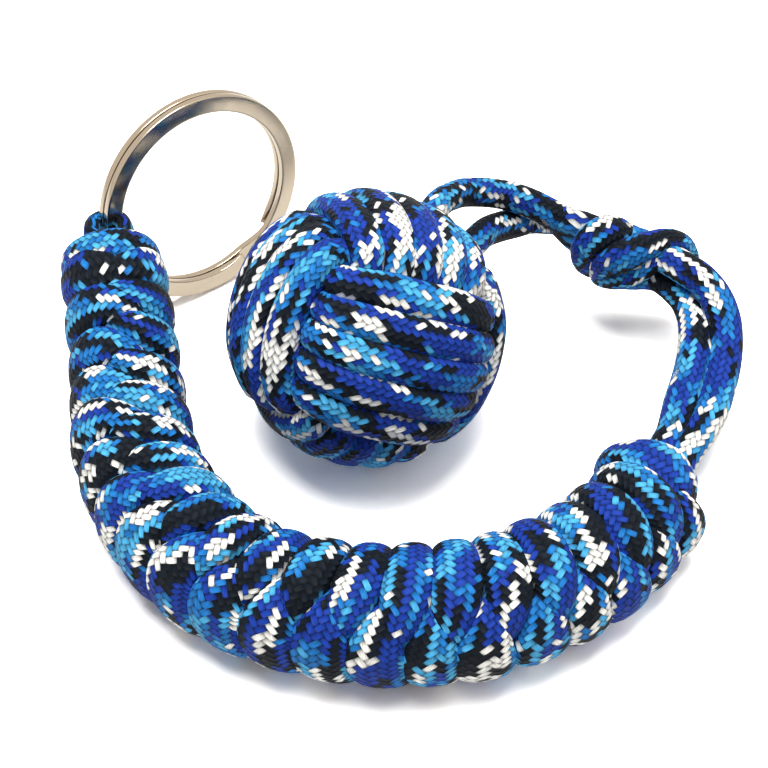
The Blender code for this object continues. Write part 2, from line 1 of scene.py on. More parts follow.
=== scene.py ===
"""Visual model of a monkey's fist key chain lying on a pale table.

The braided cord is modelled as it lies in the real object: two cords knotted round a
core into a stiff curved bar, two legs with an overhand knot, and three sets of passes
that wind the fist. Lengths are in metres unless a name ends in _mm.
"""

import logging
import math
from collections.abc import Callable
from dataclasses import dataclass, field
from enum import Enum

import bpy
import numpy as np
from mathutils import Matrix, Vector

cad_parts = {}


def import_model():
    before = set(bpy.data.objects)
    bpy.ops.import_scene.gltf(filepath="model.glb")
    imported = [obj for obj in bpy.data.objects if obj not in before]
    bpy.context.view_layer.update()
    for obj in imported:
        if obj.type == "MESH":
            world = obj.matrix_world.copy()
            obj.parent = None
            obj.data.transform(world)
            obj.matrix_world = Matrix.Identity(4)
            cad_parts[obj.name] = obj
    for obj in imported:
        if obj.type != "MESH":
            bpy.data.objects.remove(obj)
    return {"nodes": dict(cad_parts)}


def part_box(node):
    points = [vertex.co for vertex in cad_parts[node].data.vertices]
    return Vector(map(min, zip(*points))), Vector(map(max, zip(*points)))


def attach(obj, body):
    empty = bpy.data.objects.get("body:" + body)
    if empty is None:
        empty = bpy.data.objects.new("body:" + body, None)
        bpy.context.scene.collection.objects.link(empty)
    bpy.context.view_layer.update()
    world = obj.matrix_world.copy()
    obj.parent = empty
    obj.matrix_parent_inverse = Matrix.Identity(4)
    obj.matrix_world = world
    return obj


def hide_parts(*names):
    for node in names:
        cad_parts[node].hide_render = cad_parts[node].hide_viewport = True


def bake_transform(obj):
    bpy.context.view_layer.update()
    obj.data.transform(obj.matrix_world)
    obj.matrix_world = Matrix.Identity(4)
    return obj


LOG = logging.getLogger("key_chain")
Array = np.ndarray
Point = tuple[float, float, float]
Colour = tuple[float, float, float, float]
UP = np.array((0.0, 0.0, 1.0))
MM = 0.001
UV_NAME = "braid"
LOOSE_PICK_MM = 1.30


class Slot(Enum):
    """The record's material slots."""

    ROYAL = "royal_blue_cord"
    AZURE = "azure_cord"
    CORE = "core_cord"
    STEEL = "polished_steel"


def unit(vector: Array) -> Array:
    """The vector at length one."""
    vector = np.asarray(vector, float)
    return vector / np.linalg.norm(vector)


def ease(value: float | Array, start: float, end: float) -> float | Array:
    """An even blend from 0 to 1.

    Args:
        value: What the blend goes by.
        start: Where it begins.
        end: Where it is done.

    Returns:
        The blended value, from 0 to 1.
    """
    share = np.clip((value - start) / (end - start), 0.0, 1.0)
    return share * share * (3 - 2 * share)


def between(first: Array, second: Array, angle: float) -> Array:
    """The direction at an angle from one direction towards another square to it."""
    return first * math.cos(angle) + second * math.sin(angle)


def lengths(vectors: Array) -> Array:
    """The length of each of some vectors."""
    return np.linalg.norm(vectors, axis=1)


def nearest(points: Array, place: Array) -> int:
    """Which of the points is nearest to a place."""
    return int(np.argmin(lengths(points - place)))


def hops(points: Array) -> Array:
    """The distance from each point of a line to the next."""
    return lengths(np.diff(points, axis=0))


def reach_along(points: Array) -> Array:
    """How far along a line each of its points lies."""
    return np.concatenate(([0.0], np.cumsum(hops(points))))


def headings(points: Array) -> Array:
    """The direction of travel at each point of a line."""
    ahead = np.gradient(points, axis=0)
    return ahead / lengths(ahead)[:, None]


def square_to(vectors: Array, ahead: Array) -> Array:
    """The vectors without what they have along the direction of travel."""
    return vectors - ahead * (vectors * ahead).sum(1)[:, None]


def add_object(name: str, data: bpy.types.ID) -> bpy.types.Object:
    """Makes an object and puts it into the scene."""
    made = bpy.data.objects.new(name, data)
    bpy.context.scene.collection.objects.link(made)
    return made


class Route:
    """A smooth curve through chosen points, measured along its length."""

    SPAN_STEPS = 24
    HEADING_SHARE = 1 / 200

    def __init__(self, points: list[Array] | Array) -> None:
        """Makes the curve.

        Args:
            points: The points that it goes through.
        """
        points = np.asarray(points, float)
        ends = (2 * points[:1] - points[1:2], points, 2 * points[-1:] - points[-2:-1])
        padded = np.concatenate(ends)
        dense = []
        for a, b, c, d in zip(padded, padded[1:], padded[2:], padded[3:]):
            for t in np.linspace(0, 1, self.SPAN_STEPS, endpoint=False):
                cubic = (3 * b - a - 3 * c + d) * t**3
                square = (2 * a - 5 * b + 4 * c - d) * t**2
                dense.append((2 * b + (c - a) * t + square + cubic) / 2)
        dense.append(points[-1])
        self.dense = np.array(dense)
        self.reach = reach_along(self.dense)
        self.length = float(self.reach[-1])

    def _inside(self, distance: float) -> Array:
        """The point this far along, between the ends."""
        return np.array([np.interp(distance, self.reach, axis) for axis in self.dense.T])

    def at(self, distance: float) -> Array:
        """The point this far along, going straight on past either end."""
        inside = min(max(distance, 0.0), self.length)
        return self._inside(inside) + (distance - inside) * self.heading(inside)

    def heading(self, distance: float) -> Array:
        """The direction of travel this far along."""
        half = self.length * self.HEADING_SHARE
        middle = min(max(distance, half), self.length - half)
        return unit(self._inside(middle + half) - self._inside(middle - half))

    def right(self, distance: float) -> Array:
        """The level direction to the right of travel."""
        return unit(np.cross(self.heading(distance), UP))

    def spaced(self, step: float) -> Array:
        """Points along the curve about one step apart."""
        count = max(2, math.ceil(self.length / step)) + 1
        return np.array([self.at(d) for d in np.linspace(0, self.length, count)])


# Shaders


def operator(kind: str) -> Callable[..., "Value"]:
    """Makes an operator of node values from a kind of Math node."""

    def result(value: "Value", *others: object) -> "Value":
        """What the Math node gives."""
        return value.graph.math(kind, value, *others)

    return result


class Value:
    """A node's output, so that node maths reads as a formula."""

    __add__ = __radd__ = operator("ADD")
    __sub__ = operator("SUBTRACT")
    __mul__ = __rmul__ = operator("MULTIPLY")
    __truediv__ = operator("DIVIDE")
    __pow__ = operator("POWER")
    __abs__ = operator("ABSOLUTE")

    def __init__(self, graph: "Graph", socket: bpy.types.NodeSocket) -> None:
        """Wraps an output socket of a graph."""
        self.graph = graph
        self.socket = socket

    def __rsub__(self, other: float) -> "Value":
        """A number less this value."""
        return self.graph.math("SUBTRACT", other, self)


class Graph:
    """A node tree with short calls for the nodes that the finishes use."""

    COLUMNS = 12

    def __init__(self, tree: bpy.types.NodeTree) -> None:
        """Wraps a node tree."""
        self.tree = tree
        self.column = 0

    def node(self, kind: str, inputs: dict[int | str, object] | None = None,
             **settings: object) -> bpy.types.Node:
        """Adds a node.

        Args:
            kind: The node's type name.
            inputs: What its inputs are fed, by number or name.
            settings: Properties to set on it.

        Returns:
            The node.
        """
        made = self.tree.nodes.new(kind)
        self.column += 1
        made.location = (self.column % self.COLUMNS * 180, -(self.column // self.COLUMNS) * 200)
        for name, value in settings.items():
            setattr(made, name, value)
        self.fill(made, inputs or {})
        return made

    def fill(self, node: bpy.types.Node, inputs: dict[int | str, object]) -> None:
        """Feeds inputs of a node, each by a link or with a constant."""
        for key, value in inputs.items():
            if isinstance(value, Value):
                self.tree.links.new(value.socket, node.inputs[key])
            else:
                node.inputs[key].default_value = value

    def read(self, node: bpy.types.Node, output: int | str = 0) -> Value:
        """One output of a node."""
        return Value(self, node.outputs[output])

    def math(self, operation: str, *values: object) -> Value:
        """The result of a Math node on these values."""
        inputs = dict(enumerate(values))
        return self.read(self.node("ShaderNodeMath", inputs, operation=operation))

    def mix(self, share: object, first: object, second: object) -> Value:
        """A number between two others."""
        inputs = {0: share, 2: first, 3: second}
        return self.read(self.node("ShaderNodeMix", inputs, data_type="FLOAT"))

    def mix_colour(self, share: object, first: object, second: object) -> Value:
        """A colour between two others."""
        inputs = {0: share, 6: first, 7: second}
        return self.read(self.node("ShaderNodeMix", inputs, data_type="RGBA"), 2)

    def combine(self, x: object, y: object, z: object) -> Value:
        """A vector from three numbers."""
        return self.read(self.node("ShaderNodeCombineXYZ", {0: x, 1: y, 2: z}))

    def noise(self, vector: object, scale: float, detail: float = 0.0) -> bpy.types.Node:
        """A noise texture."""
        inputs = {"Vector": vector, "Scale": scale, "Detail": detail}
        return self.node("ShaderNodeTexNoise", inputs)

    def bump(self, height: Value, strength: float, distance: float) -> Value:
        """A normal that shows a height."""
        inputs = {"Strength": strength, "Distance": distance, "Height": height}
        return self.read(self.node("ShaderNodeBump", inputs))


def shader_group(name: str, inputs: dict[str, tuple[str, object]], outputs: dict[str, str]
                 ) -> tuple[Graph, dict[str, Value], bpy.types.Node]:
    """Makes an empty shader node group.

    Args:
        name: The group's name.
        inputs: Each input's socket type and default value.
        outputs: Each output's socket type.

    Returns:
        The group's graph, its inputs and the node that takes its outputs.
    """
    tree = bpy.data.node_groups.new(name, "ShaderNodeTree")
    for label, (kind, default) in inputs.items():
        socket = tree.interface.new_socket(label, in_out="INPUT", socket_type=kind)
        if default is not None:
            socket.default_value = default
    for label, kind in outputs.items():
        tree.interface.new_socket(label, in_out="OUTPUT", socket_type=kind)
    graph = Graph(tree)
    source, sink = graph.node("NodeGroupInput"), graph.node("NodeGroupOutput")
    return graph, {label: graph.read(source, label) for label in inputs}, sink


def new_material(name: str, plain: Colour
                 ) -> tuple[bpy.types.Material, Graph, bpy.types.Node]:
    """Makes a material.

    Args:
        name: The material's name.
        plain: Its colour where its nodes aren't drawn.

    Returns:
        The material, its graph and its Principled BSDF.
    """
    made = bpy.data.materials.new(name)
    made.use_nodes = True
    made.diffuse_color = plain
    return made, Graph(made.node_tree), made.node_tree.nodes["Principled BSDF"]


@dataclass(frozen=True)
class BraidPalette:
    """The four dyes of the cord's yarns, with a painted cyan highlight for the light that they
    catch.
    """

    royal: Colour = (0.011, 0.046, 0.35, 1.0)
    azure: Colour = (0.016, 0.185, 0.56, 1.0)
    highlight_cyan: Colour = (0.07, 0.40, 0.74, 1.0)
    black: Colour = (0.004, 0.008, 0.015, 1.0)
    white: Colour = (0.92, 0.93, 0.91, 1.0)


class BraidPattern:
    """The node group of a braid: two families of dyed yarns, each over two and under two."""

    NAME = "space_dyed_braid"
    REPEAT = 4.0
    SEED_SHIFT = 61.7
    DYE_TWIST = 0.10
    DYE_ROUND = 1.25
    DYE_ALONG = 0.085
    YARN_APART = 0.33
    YARN_ALONG = 0.08
    FAMILY_APART = 40.0
    YARN_SHARE = 0.36
    LOOSE_DYE = 0.022
    # Painted highlight: where azure stitches turn cyan.
    CYAN_ABOVE = 0.60
    CYAN_LOOSE = 0.07
    LEAN_DEG = 19.0
    STITCH_SIDE = 0.41
    STITCH_LENGTH = 0.62
    STITCH_WIDTH = 0.47
    END_POWER = 2.4
    SIDE_POWER = 2.2
    FIBRE_RUN = 1.1
    FIBRE_WIDE = 9.0
    FIBRE_APART = 37.0
    FIBRE_HEIGHT = 0.3
    # Painted shade: how dark the gaps between stitches are painted, and how fast it lifts
    # towards a stitch's middle.
    GAP_SHADE = 0.22
    STITCH_SHADE = 0.80
    SHADE_POWER = 0.45
    LEAST_BRIGHT = 0.38
    LOOSE_BRIGHT = 0.26

    @classmethod
    def group(cls) -> bpy.types.NodeTree:
        """The group, made once."""
        found = bpy.data.node_groups.get(cls.NAME)
        return found or cls._build()

    @classmethod
    def _build(cls) -> bpy.types.NodeTree:
        """Builds the group: which yarn lies on top, its dye with painted highlights, the stitch
        that it makes and painted shade between stitches.
        """
        numbers = {"Seed": 0.0, "Yarns": 16.0, "Pick": 1.2, "White": 0.5, "Black": 0.5,
                   "Royal": 0.5}
        inputs = {"Place": ("NodeSocketVector", None)}
        inputs |= {label: ("NodeSocketFloat", value) for label, value in numbers.items()}
        outputs = {"Colour": "NodeSocketColor", "Height": "NodeSocketFloat"}
        g, given, sink = shader_group(cls.NAME, inputs, outputs)
        split = g.node("ShaderNodeSeparateXYZ", {0: given["Place"]})
        along = g.read(split, 0) / given["Pick"]
        around = g.read(split, 1) * given["Yarns"]
        a, b = along + around, along - around
        i, j = g.math("FLOOR", a), g.math("FLOOR", b)
        over = g.math("WRAP", i - b + 1.0, cls.REPEAT, 0.0)
        other = g.math("WRAP", a - j - 2.0, cls.REPEAT, 0.0)
        first = g.math("LESS_THAN", over, 2.0)
        along_a, along_b = over - 1.0, other - 1.0
        lean = g.mix(first, along_b, along_a * -1.0)
        across = g.mix(first, b - j - 0.5, a - i - 0.5)
        centre_a = g.mix(first, a - along_b, i + 0.5)
        centre_b = g.mix(first, j + 0.5, b + along_a)
        stitch = g.combine(centre_a, centre_b, 0.0)
        speck = g.node("ShaderNodeTexWhiteNoise", {"Vector": stitch}, noise_dimensions="2D")
        jitter = g.read(speck, "Value")
        shifted = (centre_a + centre_b) * 0.5 * given["Pick"] + given["Seed"] * cls.SEED_SHIFT
        turn = (centre_a - centre_b) * math.pi / given["Yarns"]
        yarn = g.math("WRAP", g.mix(first, centre_b, centre_a), given["Yarns"], 0.0)
        family = g.combine(yarn * cls.YARN_APART, shifted * cls.YARN_ALONG,
                           first * cls.FAMILY_APART)
        colour = cls._dye(g, given, turn, shifted, family, jitter)
        height, fibres = cls._stitch(g, given["Pick"], lean, across, jitter, shifted)
        # Painted shade: the colour darkens towards each stitch's edges and in the gaps between
        # stitches, where shade falls; jitter and fibres vary the tone at random.
        shade = cls.GAP_SHADE + height**cls.SHADE_POWER * cls.STITCH_SHADE
        bright = shade * (cls.LEAST_BRIGHT + (jitter * cls.LOOSE_BRIGHT + fibres))
        scaled = g.node("ShaderNodeVectorMath", {0: colour, "Scale": bright}, operation="SCALE")
        g.fill(sink, {"Colour": g.read(scaled), "Height": height + fibres * cls.FIBRE_HEIGHT})
        return g.tree

    @classmethod
    def _dye(cls, g: Graph, given: dict[str, Value], turn: Value, shifted: Value,
             family: Value, jitter: Value) -> Value:
        """The colour of a yarn from patches on the whole cord and patches of its own.

        Args:
            g: The group's graph.
            given: The group's inputs.
            turn: How far round the cord the stitch lies.
            shifted: How far along it.
            family: The yarn's place in its own noise.
            jitter: A random number for each stitch.

        Returns:
            The dye, or a painted cyan highlight in place of azure.
        """
        dyes = BraidPalette()
        skewed = turn + shifted * cls.DYE_TWIST
        dyed = g.combine(g.math("COSINE", skewed) * cls.DYE_ROUND,
                         g.math("SINE", skewed) * cls.DYE_ROUND, shifted * cls.DYE_ALONG)
        common, own = (g.read(g.noise(at, 1.0), "Color") for at in (dyed, family))
        both = g.mix_colour(cls.YARN_SHARE, common, own)
        parts = g.node("ShaderNodeSeparateColor", {0: both})
        loose = (jitter - 0.5) * cls.LOOSE_DYE
        tone, dark, pale = (g.read(parts, channel) + loose for channel in range(3))
        # Painted highlight: azure stitches whose tone and jitter lie above CYAN_ABOVE are
        # painted cyan, standing for light caught on the nylon.
        lit = tone + jitter * cls.CYAN_LOOSE
        is_cyan = g.math("GREATER_THAN", lit, cls.CYAN_ABOVE)
        bright = g.mix_colour(is_cyan, dyes.azure, dyes.highlight_cyan)
        blue = g.mix_colour(g.math("GREATER_THAN", tone, given["Royal"]), dyes.royal, bright)
        darker = g.mix_colour(g.math("LESS_THAN", dark, given["Black"]), blue, dyes.black)
        return g.mix_colour(g.math("GREATER_THAN", pale, given["White"]), darker, dyes.white)

    @classmethod
    def _stitch(cls, g: Graph, pick: Value, lean: Value, across: Value, jitter: Value,
                shifted: Value) -> tuple[Value, Value]:
        """The form of one stitch.

        Args:
            g: The group's graph.
            pick: The length of a stitch's repeat.
            lean: The place along the yarn.
            across: The place across it.
            jitter: A random number for each stitch.
            shifted: How far along the cord the stitch lies.

        Returns:
            Its height and the fibres on it.
        """
        forth = (lean + across) * 0.5 * pick
        beside = (lean - across) * cls.STITCH_SIDE
        slant = math.radians(cls.LEAN_DEG)
        run = forth * math.cos(slant) + beside * math.sin(slant)
        wide = beside * math.cos(slant) - forth * math.sin(slant)
        ends = abs(run / (pick * cls.STITCH_LENGTH)) ** cls.END_POWER
        sides = abs(wide / cls.STITCH_WIDTH) ** cls.SIDE_POWER
        height = g.math("MAXIMUM", 1.0 - (ends + sides), 0.0)
        strands = g.combine(run * cls.FIBRE_RUN, wide * cls.FIBRE_WIDE,
                            jitter * cls.FIBRE_APART + shifted)
        return height, g.read(g.noise(strands, 1.0, 1.0))


@dataclass(frozen=True)
class BraidedCord:
    """Multi-coloured braided nylon cord."""

    name: str
    seed: float
    white: float = 0.586
    black: float = 0.458
    royal: float = 0.478
    yarns: float = 16.0
    pick_mm: float = 1.08
    bump: float = 0.85
    relief: float = 0.00024
    roughness: float = 0.58
    shine: float = 0.10
    sheen: float = 0.02
    sheen_roughness: float = 0.4

    def material(self) -> bpy.types.Material:
        """Builds the cord's material."""
        made, g, shader = new_material(self.name, BraidPalette().azure)
        place = g.read(g.node("ShaderNodeUVMap", uv_map=UV_NAME))
        settings = {"Place": place, "Seed": self.seed, "Yarns": self.yarns,
                    "Pick": self.pick_mm, "White": self.white, "Black": self.black,
                    "Royal": self.royal}
        braid = g.node("ShaderNodeGroup", node_tree=BraidPattern.group())
        g.fill(braid, settings)
        # The braid's colour carries painted shade between stitches and painted cyan highlights
        # on some azure stitches.
        g.fill(shader, {
            "Base Color": g.read(braid, "Colour"),
            "Normal": g.bump(g.read(braid, "Height"), self.bump, self.relief),
            "Roughness": self.roughness,
            "Specular IOR Level": self.shine,
            "Sheen Weight": self.sheen,
            "Sheen Roughness": self.sheen_roughness,
        })
        return made


@dataclass(frozen=True)
class PolishedSteel:
    """Rolled and polished steel wire, with fine marks along it."""

    name: str = "polished_steel_wire"
    colour: Colour = (0.62, 0.535, 0.425, 1.0)
    streak: Colour = (0.36, 0.30, 0.225, 1.0)
    streaks: float = 0.5
    grain: Point = (0.35, 90.0, 1.0)
    grain_detail: float = 4.0
    wear: float = 0.22
    wear_scale: float = 0.4
    wear_detail: float = 3.0
    roughness: float = 0.15
    bump: float = 0.12
    relief: float = 0.00003

    def material(self) -> bpy.types.Material:
        """Builds the steel's material."""
        made, g, shader = new_material(self.name, self.colour)
        place = g.read(g.node("ShaderNodeUVMap", uv_map=UV_NAME))
        drawn = g.read(g.node("ShaderNodeMapping", {"Vector": place, "Scale": self.grain}))
        marks = g.read(g.noise(drawn, 1.0, self.grain_detail))
        worn = g.read(g.noise(place, self.wear_scale, self.wear_detail))
        g.fill(shader, {
            "Base Color": g.mix_colour(marks * self.streaks, self.colour, self.streak),
            "Roughness": (worn - 0.5) * self.wear + self.roughness,
            "Metallic": 1.0,
            "Normal": g.bump(marks, self.bump, self.relief),
        })
        return made


# Swept forms


@dataclass(frozen=True)
class Bend:
    """The two bodies that a piece joins and the stretch between them; a piece given one is not
    attached to either.
    """

    near: str
    far: str
    start: Array
    end: Array


@dataclass
class Sweep:
    """The points of a cord's surface, gathered tube by tube into one piece."""

    name: str
    sides: int = 18
    roundness: float = 2.0
    floor: float | None = None
    tube_apart_mm: float = 97.0
    points: list[Array] = field(default_factory=list)
    faces: list[tuple[int, ...]] = field(default_factory=list)
    marks: list[tuple[float, float]] = field(default_factory=list)
    count: int = 0

    def tube(self, centres: Array, outward: Array, widths: Array, thicknesses: Array) -> None:
        """Adds one unbroken tube.

        Args:
            centres: The points down its middle.
            outward: The way its flat side faces at each point.
            widths: Its size across that way.
            thicknesses: Its size along that way.
        """
        centres, outward = np.asarray(centres), np.asarray(outward)
        number = len(centres)
        widths = np.broadcast_to(widths, number)
        thicknesses = np.broadcast_to(thicknesses, number)
        ahead = headings(centres)
        out = square_to(outward, ahead)
        out /= lengths(out)[:, None]
        side = np.cross(ahead, out)
        turn = np.linspace(0, 2 * math.pi, self.sides, endpoint=False)
        level, rise = (np.sign(wave) * np.abs(wave) ** (2 / self.roundness)
                       for wave in (np.cos(turn), np.sin(turn)))
        rings = (
            centres[:, None]
            + side[:, None] * (level[None, :, None] * widths[:, None, None] / 2)
            + out[:, None] * (rise[None, :, None] * thicknesses[:, None, None] / 2)
        )
        if self.floor is not None:
            rings[:, :, 2] = np.maximum(rings[:, :, 2], self.floor)
        outline = np.stack((level * widths.mean(), rise * thicknesses.mean()), 1)
        shares = reach_along(np.concatenate((outline, outline[:1])))
        shares /= shares[-1]
        shown = centres + out * thicknesses[:, None] / 2
        reach = reach_along(shown) / MM + self.tube_apart_mm * len(self.points)
        self._skin(reach, shares)
        self.points.append(rings.reshape(-1, 3))
        self.count += number * self.sides

    def _skin(self, reach: Array, shares: Array) -> None:
        """Adds a tube's faces with their places on the braid.

        Args:
            reach: How far along the cord each ring of points lies.
            shares: How far round it each corner of a ring lies.
        """
        last = len(reach) - 1
        for ring in range(last):
            for corner in range(self.sides):
                here = self.count + ring * self.sides + corner
                there = self.count + ring * self.sides + (corner + 1) % self.sides
                self.faces.append((here, there, there + self.sides, here + self.sides))
                near, far = reach[ring], reach[ring + 1]
                low, high = shares[corner], shares[corner + 1]
                self.marks += [(near, low), (near, high), (far, high), (far, low)]
        for ring, order in ((0, -1), (last, 1)):
            start = self.count + ring * self.sides
            self.faces.append(tuple(range(start, start + self.sides))[::order])
            self.marks += [(reach[ring], share) for share in shares[:-1][::order]]

    def cord(self, seed: float, name: str = "", **numbers: float) -> bpy.types.Material:
        """The braided finish for this piece.

        Args:
            seed: Chooses the place in the cord's dye pattern.
            name: What it is called after, if that isn't the piece.
            numbers: Numbers of the braid that differ from the usual ones.

        Returns:
            The material.
        """
        return BraidedCord(f"braided_cord_{name or self.name}", seed, **numbers).material()

    def build(self, finish: bpy.types.Material, body: str | Bend, slot: Slot,
              *nodes: str) -> bpy.types.Object:
        """Makes the piece.

        Args:
            finish: Its material.
            body: The body that it rides on, or a bend between two, which leaves it unattached.
            slot: Not used.
            nodes: The solids that it replaces.

        Returns:
            The piece.
        """
        mesh = bpy.data.meshes.new(self.name)
        mesh.from_pydata(np.concatenate(self.points).tolist(), [], self.faces)
        layer = mesh.uv_layers.new(name=UV_NAME)
        layer.uv.foreach_set("vector", np.array(self.marks, np.float32).ravel())
        mesh.shade_smooth()
        mesh.materials.append(finish)
        piece = add_object(self.name, mesh)
        if isinstance(body, Bend):
            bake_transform(piece)
        else:
            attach(piece, body)
        if nodes:
            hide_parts(*nodes)
        LOG.info("%s: %d faces", self.name, len(mesh.polygons))
        return piece


def steady_outward(points: Array, start: Array) -> Array:
    """A sideways direction carried along a line without twisting.

    Args:
        points: The line.
        start: The direction at its first point.

    Returns:
        The direction at each point.
    """
    carried = [np.asarray(start, float)]
    for heading in headings(points)[1:]:
        last = carried[-1]
        carried.append(unit(last - heading * np.dot(last, heading)))
    return np.array(carried)


# Layout shared by the pieces


@dataclass
class Layout:
    """Where everything lies, from the point of the table below the fist's middle."""

    shift: Array
    cord: float = 0.0039
    pair_gap: float = 0.0004
    seat_gap: float = 0.0003
    flat: float = 0.00036
    bar_radius: float = 0.0083
    fist_diameter: float = 0.038
    core_end: float = 0.0008
    bar_mm: tuple[Point, ...] = (
        (-36.4, 14.0, 10.0), (-34.6, 4.4, 6.5), (-33.6, -2.0, 4.3), (-32.4, -9.5, 2.1),
        (-30.2, -17.4, 0.9), (-25.7, -25.3, 0.3), (-20.2, -31.7, 0.3), (-13.3, -36.3, 0.5),
        (-5.6, -38.8, 0.6), (2.0, -40.0, 0.7), (9.3, -39.7, 0.8), (16.7, -38.2, 0.6),
        (24.1, -34.6, 0.3), (30.8, -29.7, 0.0), (36.7, -23.6, 0.0), (40.2, -17.4, 0.0),
        (42.2, -11.8, 0.0),
    )
    radii_mm: tuple[float, ...] = (
        7.5, 7.8, 7.9, 8.2, 8.6, 8.9, 8.8, 8.8, 8.9, 9.0, 9.0, 8.9, 8.7, 8.5, 8.2, 6.8, 5.2)
    lower_mm: tuple[Point, ...] = (
        (42.7, -12.4, 8.3), (44.3, -9.8, 8.9), (46.6, -4.5, 10.1), (48.5, 1.3, 11.4),
        (49.0, 6.8, 13.0), (47.7, 11.2, 14.1), (45.0, 14.8, 14.4), (41.6, 18.0, 14.5),
        (36.4, 20.6, 15.1), (31.6, 22.9, 15.6),
    )
    upper_a_mm: tuple[Point, ...] = (
        (28.8, 24.8, 16.6), (24.3, 26.6, 18.0), (19.8, 27.0, 19.4), (15.1, 25.0, 21.5),
        (12.8, 22.8, 22.9), (10.5, 19.2, 24.6), (8.6, 15.0, 25.0),
    )
    upper_b_mm: tuple[Point, ...] = (
        (29.0, 27.0, 14.0), (27.0, 28.2, 13.4), (24.7, 28.2, 13.4), (22.4, 27.0, 13.7),
        (19.9, 25.0, 14.7), (17.4, 22.0, 16.2), (15.0, 18.0, 17.2),
    )
    pair_turn: tuple[float, float] = (0.30, 0.70)

    def __post_init__(self) -> None:
        """Works out the routes."""
        lying = np.array(self.bar_mm) * MM
        self.bar = Route(lying + UP * (self.bar_radius - self.flat))
        self.pair = (self.cord + self.pair_gap) / 2
        self.radius_at = [self._reach(x, y) for x, y, _ in lying]
        self.fist_centre = np.array((0.0, 0.0, self.fist_diameter / 2 - self.flat))
        self.legs = Route(np.array(self.lower_mm) * MM)

    def _reach(self, x: float, y: float) -> float:
        """How far along the bar a level place lies."""
        return float(self.bar.reach[nearest(self.bar.dense[:, :2], np.array((x, y)))])

    def radius(self, distance: float) -> float:
        """The bar's radius there, in millimetres."""
        return float(np.interp(distance, self.radius_at, self.radii_mm))

    def place(self, points: Array) -> Array:
        """Layout points in the shared frame."""
        return np.asarray(points) + self.shift

    def pair_side(self, distance: float) -> Array:
        """From one lower leg towards the other: level at the bar, upright in the knot."""
        angle = math.pi / 2 * ease(distance / self.legs.length, *self.pair_turn)
        right = self.legs.right(distance)
        return between(right, np.cross(right, self.legs.heading(distance)), angle)


# The fist


@dataclass
class FistWinding:
    """Three sets of passes wound over one another round the steel ball."""

    layout: Layout
    front: Point = (0.348, -0.835, 0.427)
    top: Point = (0.310, 0.535, 0.786)
    passes: int = 5
    pitch: float = 0.0042
    band_width: float = 0.0051
    band_thickness: float = 0.0040
    under_thickness: float = 0.0034
    under_radius: float = 0.0130
    under_narrowing: float = 0.08
    bunching: float = 0.84
    bunch_start: float = 14.0
    dive_start: float = 39.5
    dive_end: float = 59.0
    swell: float = 0.00025
    swell_at: float = 27.0
    swell_spread: float = 12.0
    loose_row: float = 0.035
    loose_radius: float = 0.00012
    loose_width: float = 0.03
    steps: int = 92
    first_seed: int = 40

    def _axes(self) -> tuple[Array, Array, Array]:
        """The directions out of the front, left and top faces."""
        front = unit(self.front)
        top = unit(np.array(self.top) - front * np.dot(self.top, front))
        return front, np.cross(top, front), top

    def _profile(self, angle: float) -> tuple[float, float, float, float]:
        """How a pass lies at an angle from the middle of its outer face.

        Args:
            angle: Degrees from 0 to 90.

        Returns:
            Its distance from the middle, bunching, thickness and width share.
        """
        over = self.layout.fist_diameter / 2 - self.band_thickness / 2
        dive = ease(angle, self.dive_start, self.dive_end)
        drawn = ease(angle, self.bunch_start, self.dive_end)
        radius = over + (self.under_radius - over) * dive
        radius += self.swell * math.exp(-((angle - self.swell_at) / self.swell_spread) ** 2)
        thick = self.band_thickness + (self.under_thickness - self.band_thickness) * dive
        return radius, 1 - (1 - self.bunching) * drawn, thick, 1 - self.under_narrowing * dive

    def _set(self, sweep: Sweep, normal: Array, over: Array, under: Array,
             seed: int) -> None:
        """Adds one set of passes, wound as one spiral.

        Args:
            sweep: The piece that it goes into.
            normal: The axis that the passes go round.
            over: The direction in which they lie outermost.
            under: The direction in which they lie beneath the next set.
            seed: Chooses the small unevenness of the passes.
        """
        sway = np.random.default_rng(seed).uniform(-1, 1, (self.passes + 2, 3))
        middle = (self.passes - 1) / 2
        hidden = self.dive_end
        rows = []
        total = self.passes * self.steps
        for index in range(total + 1):
            degrees = 180 - hidden + (self.passes * 360 - 180 + 2 * hidden) * index / total
            turn, angle = divmod(degrees, 360)
            radius, bunched, thick, share = self._profile(90 - abs(90 - angle % 180))
            crossed = min(max((angle - hidden) / (180 - 2 * hidden), 0.0), 1.0)
            near, far = sway[int(turn)], sway[min(int(turn) + 1, self.passes)]
            loose = near + (far - near) * crossed
            place = turn - 1 + crossed - middle + self.loose_row * loose[0]
            offset = place * self.pitch * bunched
            theta = math.radians(degrees)
            radius += self.loose_radius * loose[1] * math.cos(2 * theta)
            arm = between(over, under, theta)
            out = arm * math.sqrt(radius**2 - offset**2) + normal * offset
            wide = self.band_width * bunched * share * (1 + self.loose_width * loose[2])
            rows.append((self.layout.fist_centre + out, out, wide, thick))
        centres, *shape = zip(*rows)
        sweep.tube(self.layout.place(centres), *shape)

    def build(self) -> None:
        """Makes the three sets of passes that cover the ball."""
        front, left, top = self._axes()
        rows = (
            ("front", top, front, left, 3.1, Slot.ROYAL),
            ("left", front, left, top, 7.7, Slot.AZURE),
            ("top", left, top, front, 11.3, Slot.ROYAL),
        )
        for index, (face, normal, over, under, seed, slot) in enumerate(rows):
            sweep = Sweep(f"fist_passes_{face}", sides=20, roundness=2.35, floor=0.0)
            self._set(sweep, normal, over, under, self.first_seed + index)
            finish = sweep.cord(seed, pick_mm=LOOSE_PICK_MM)
            sweep.build(finish, "fist", slot, f"fist_wraps_{face}")


# The bar


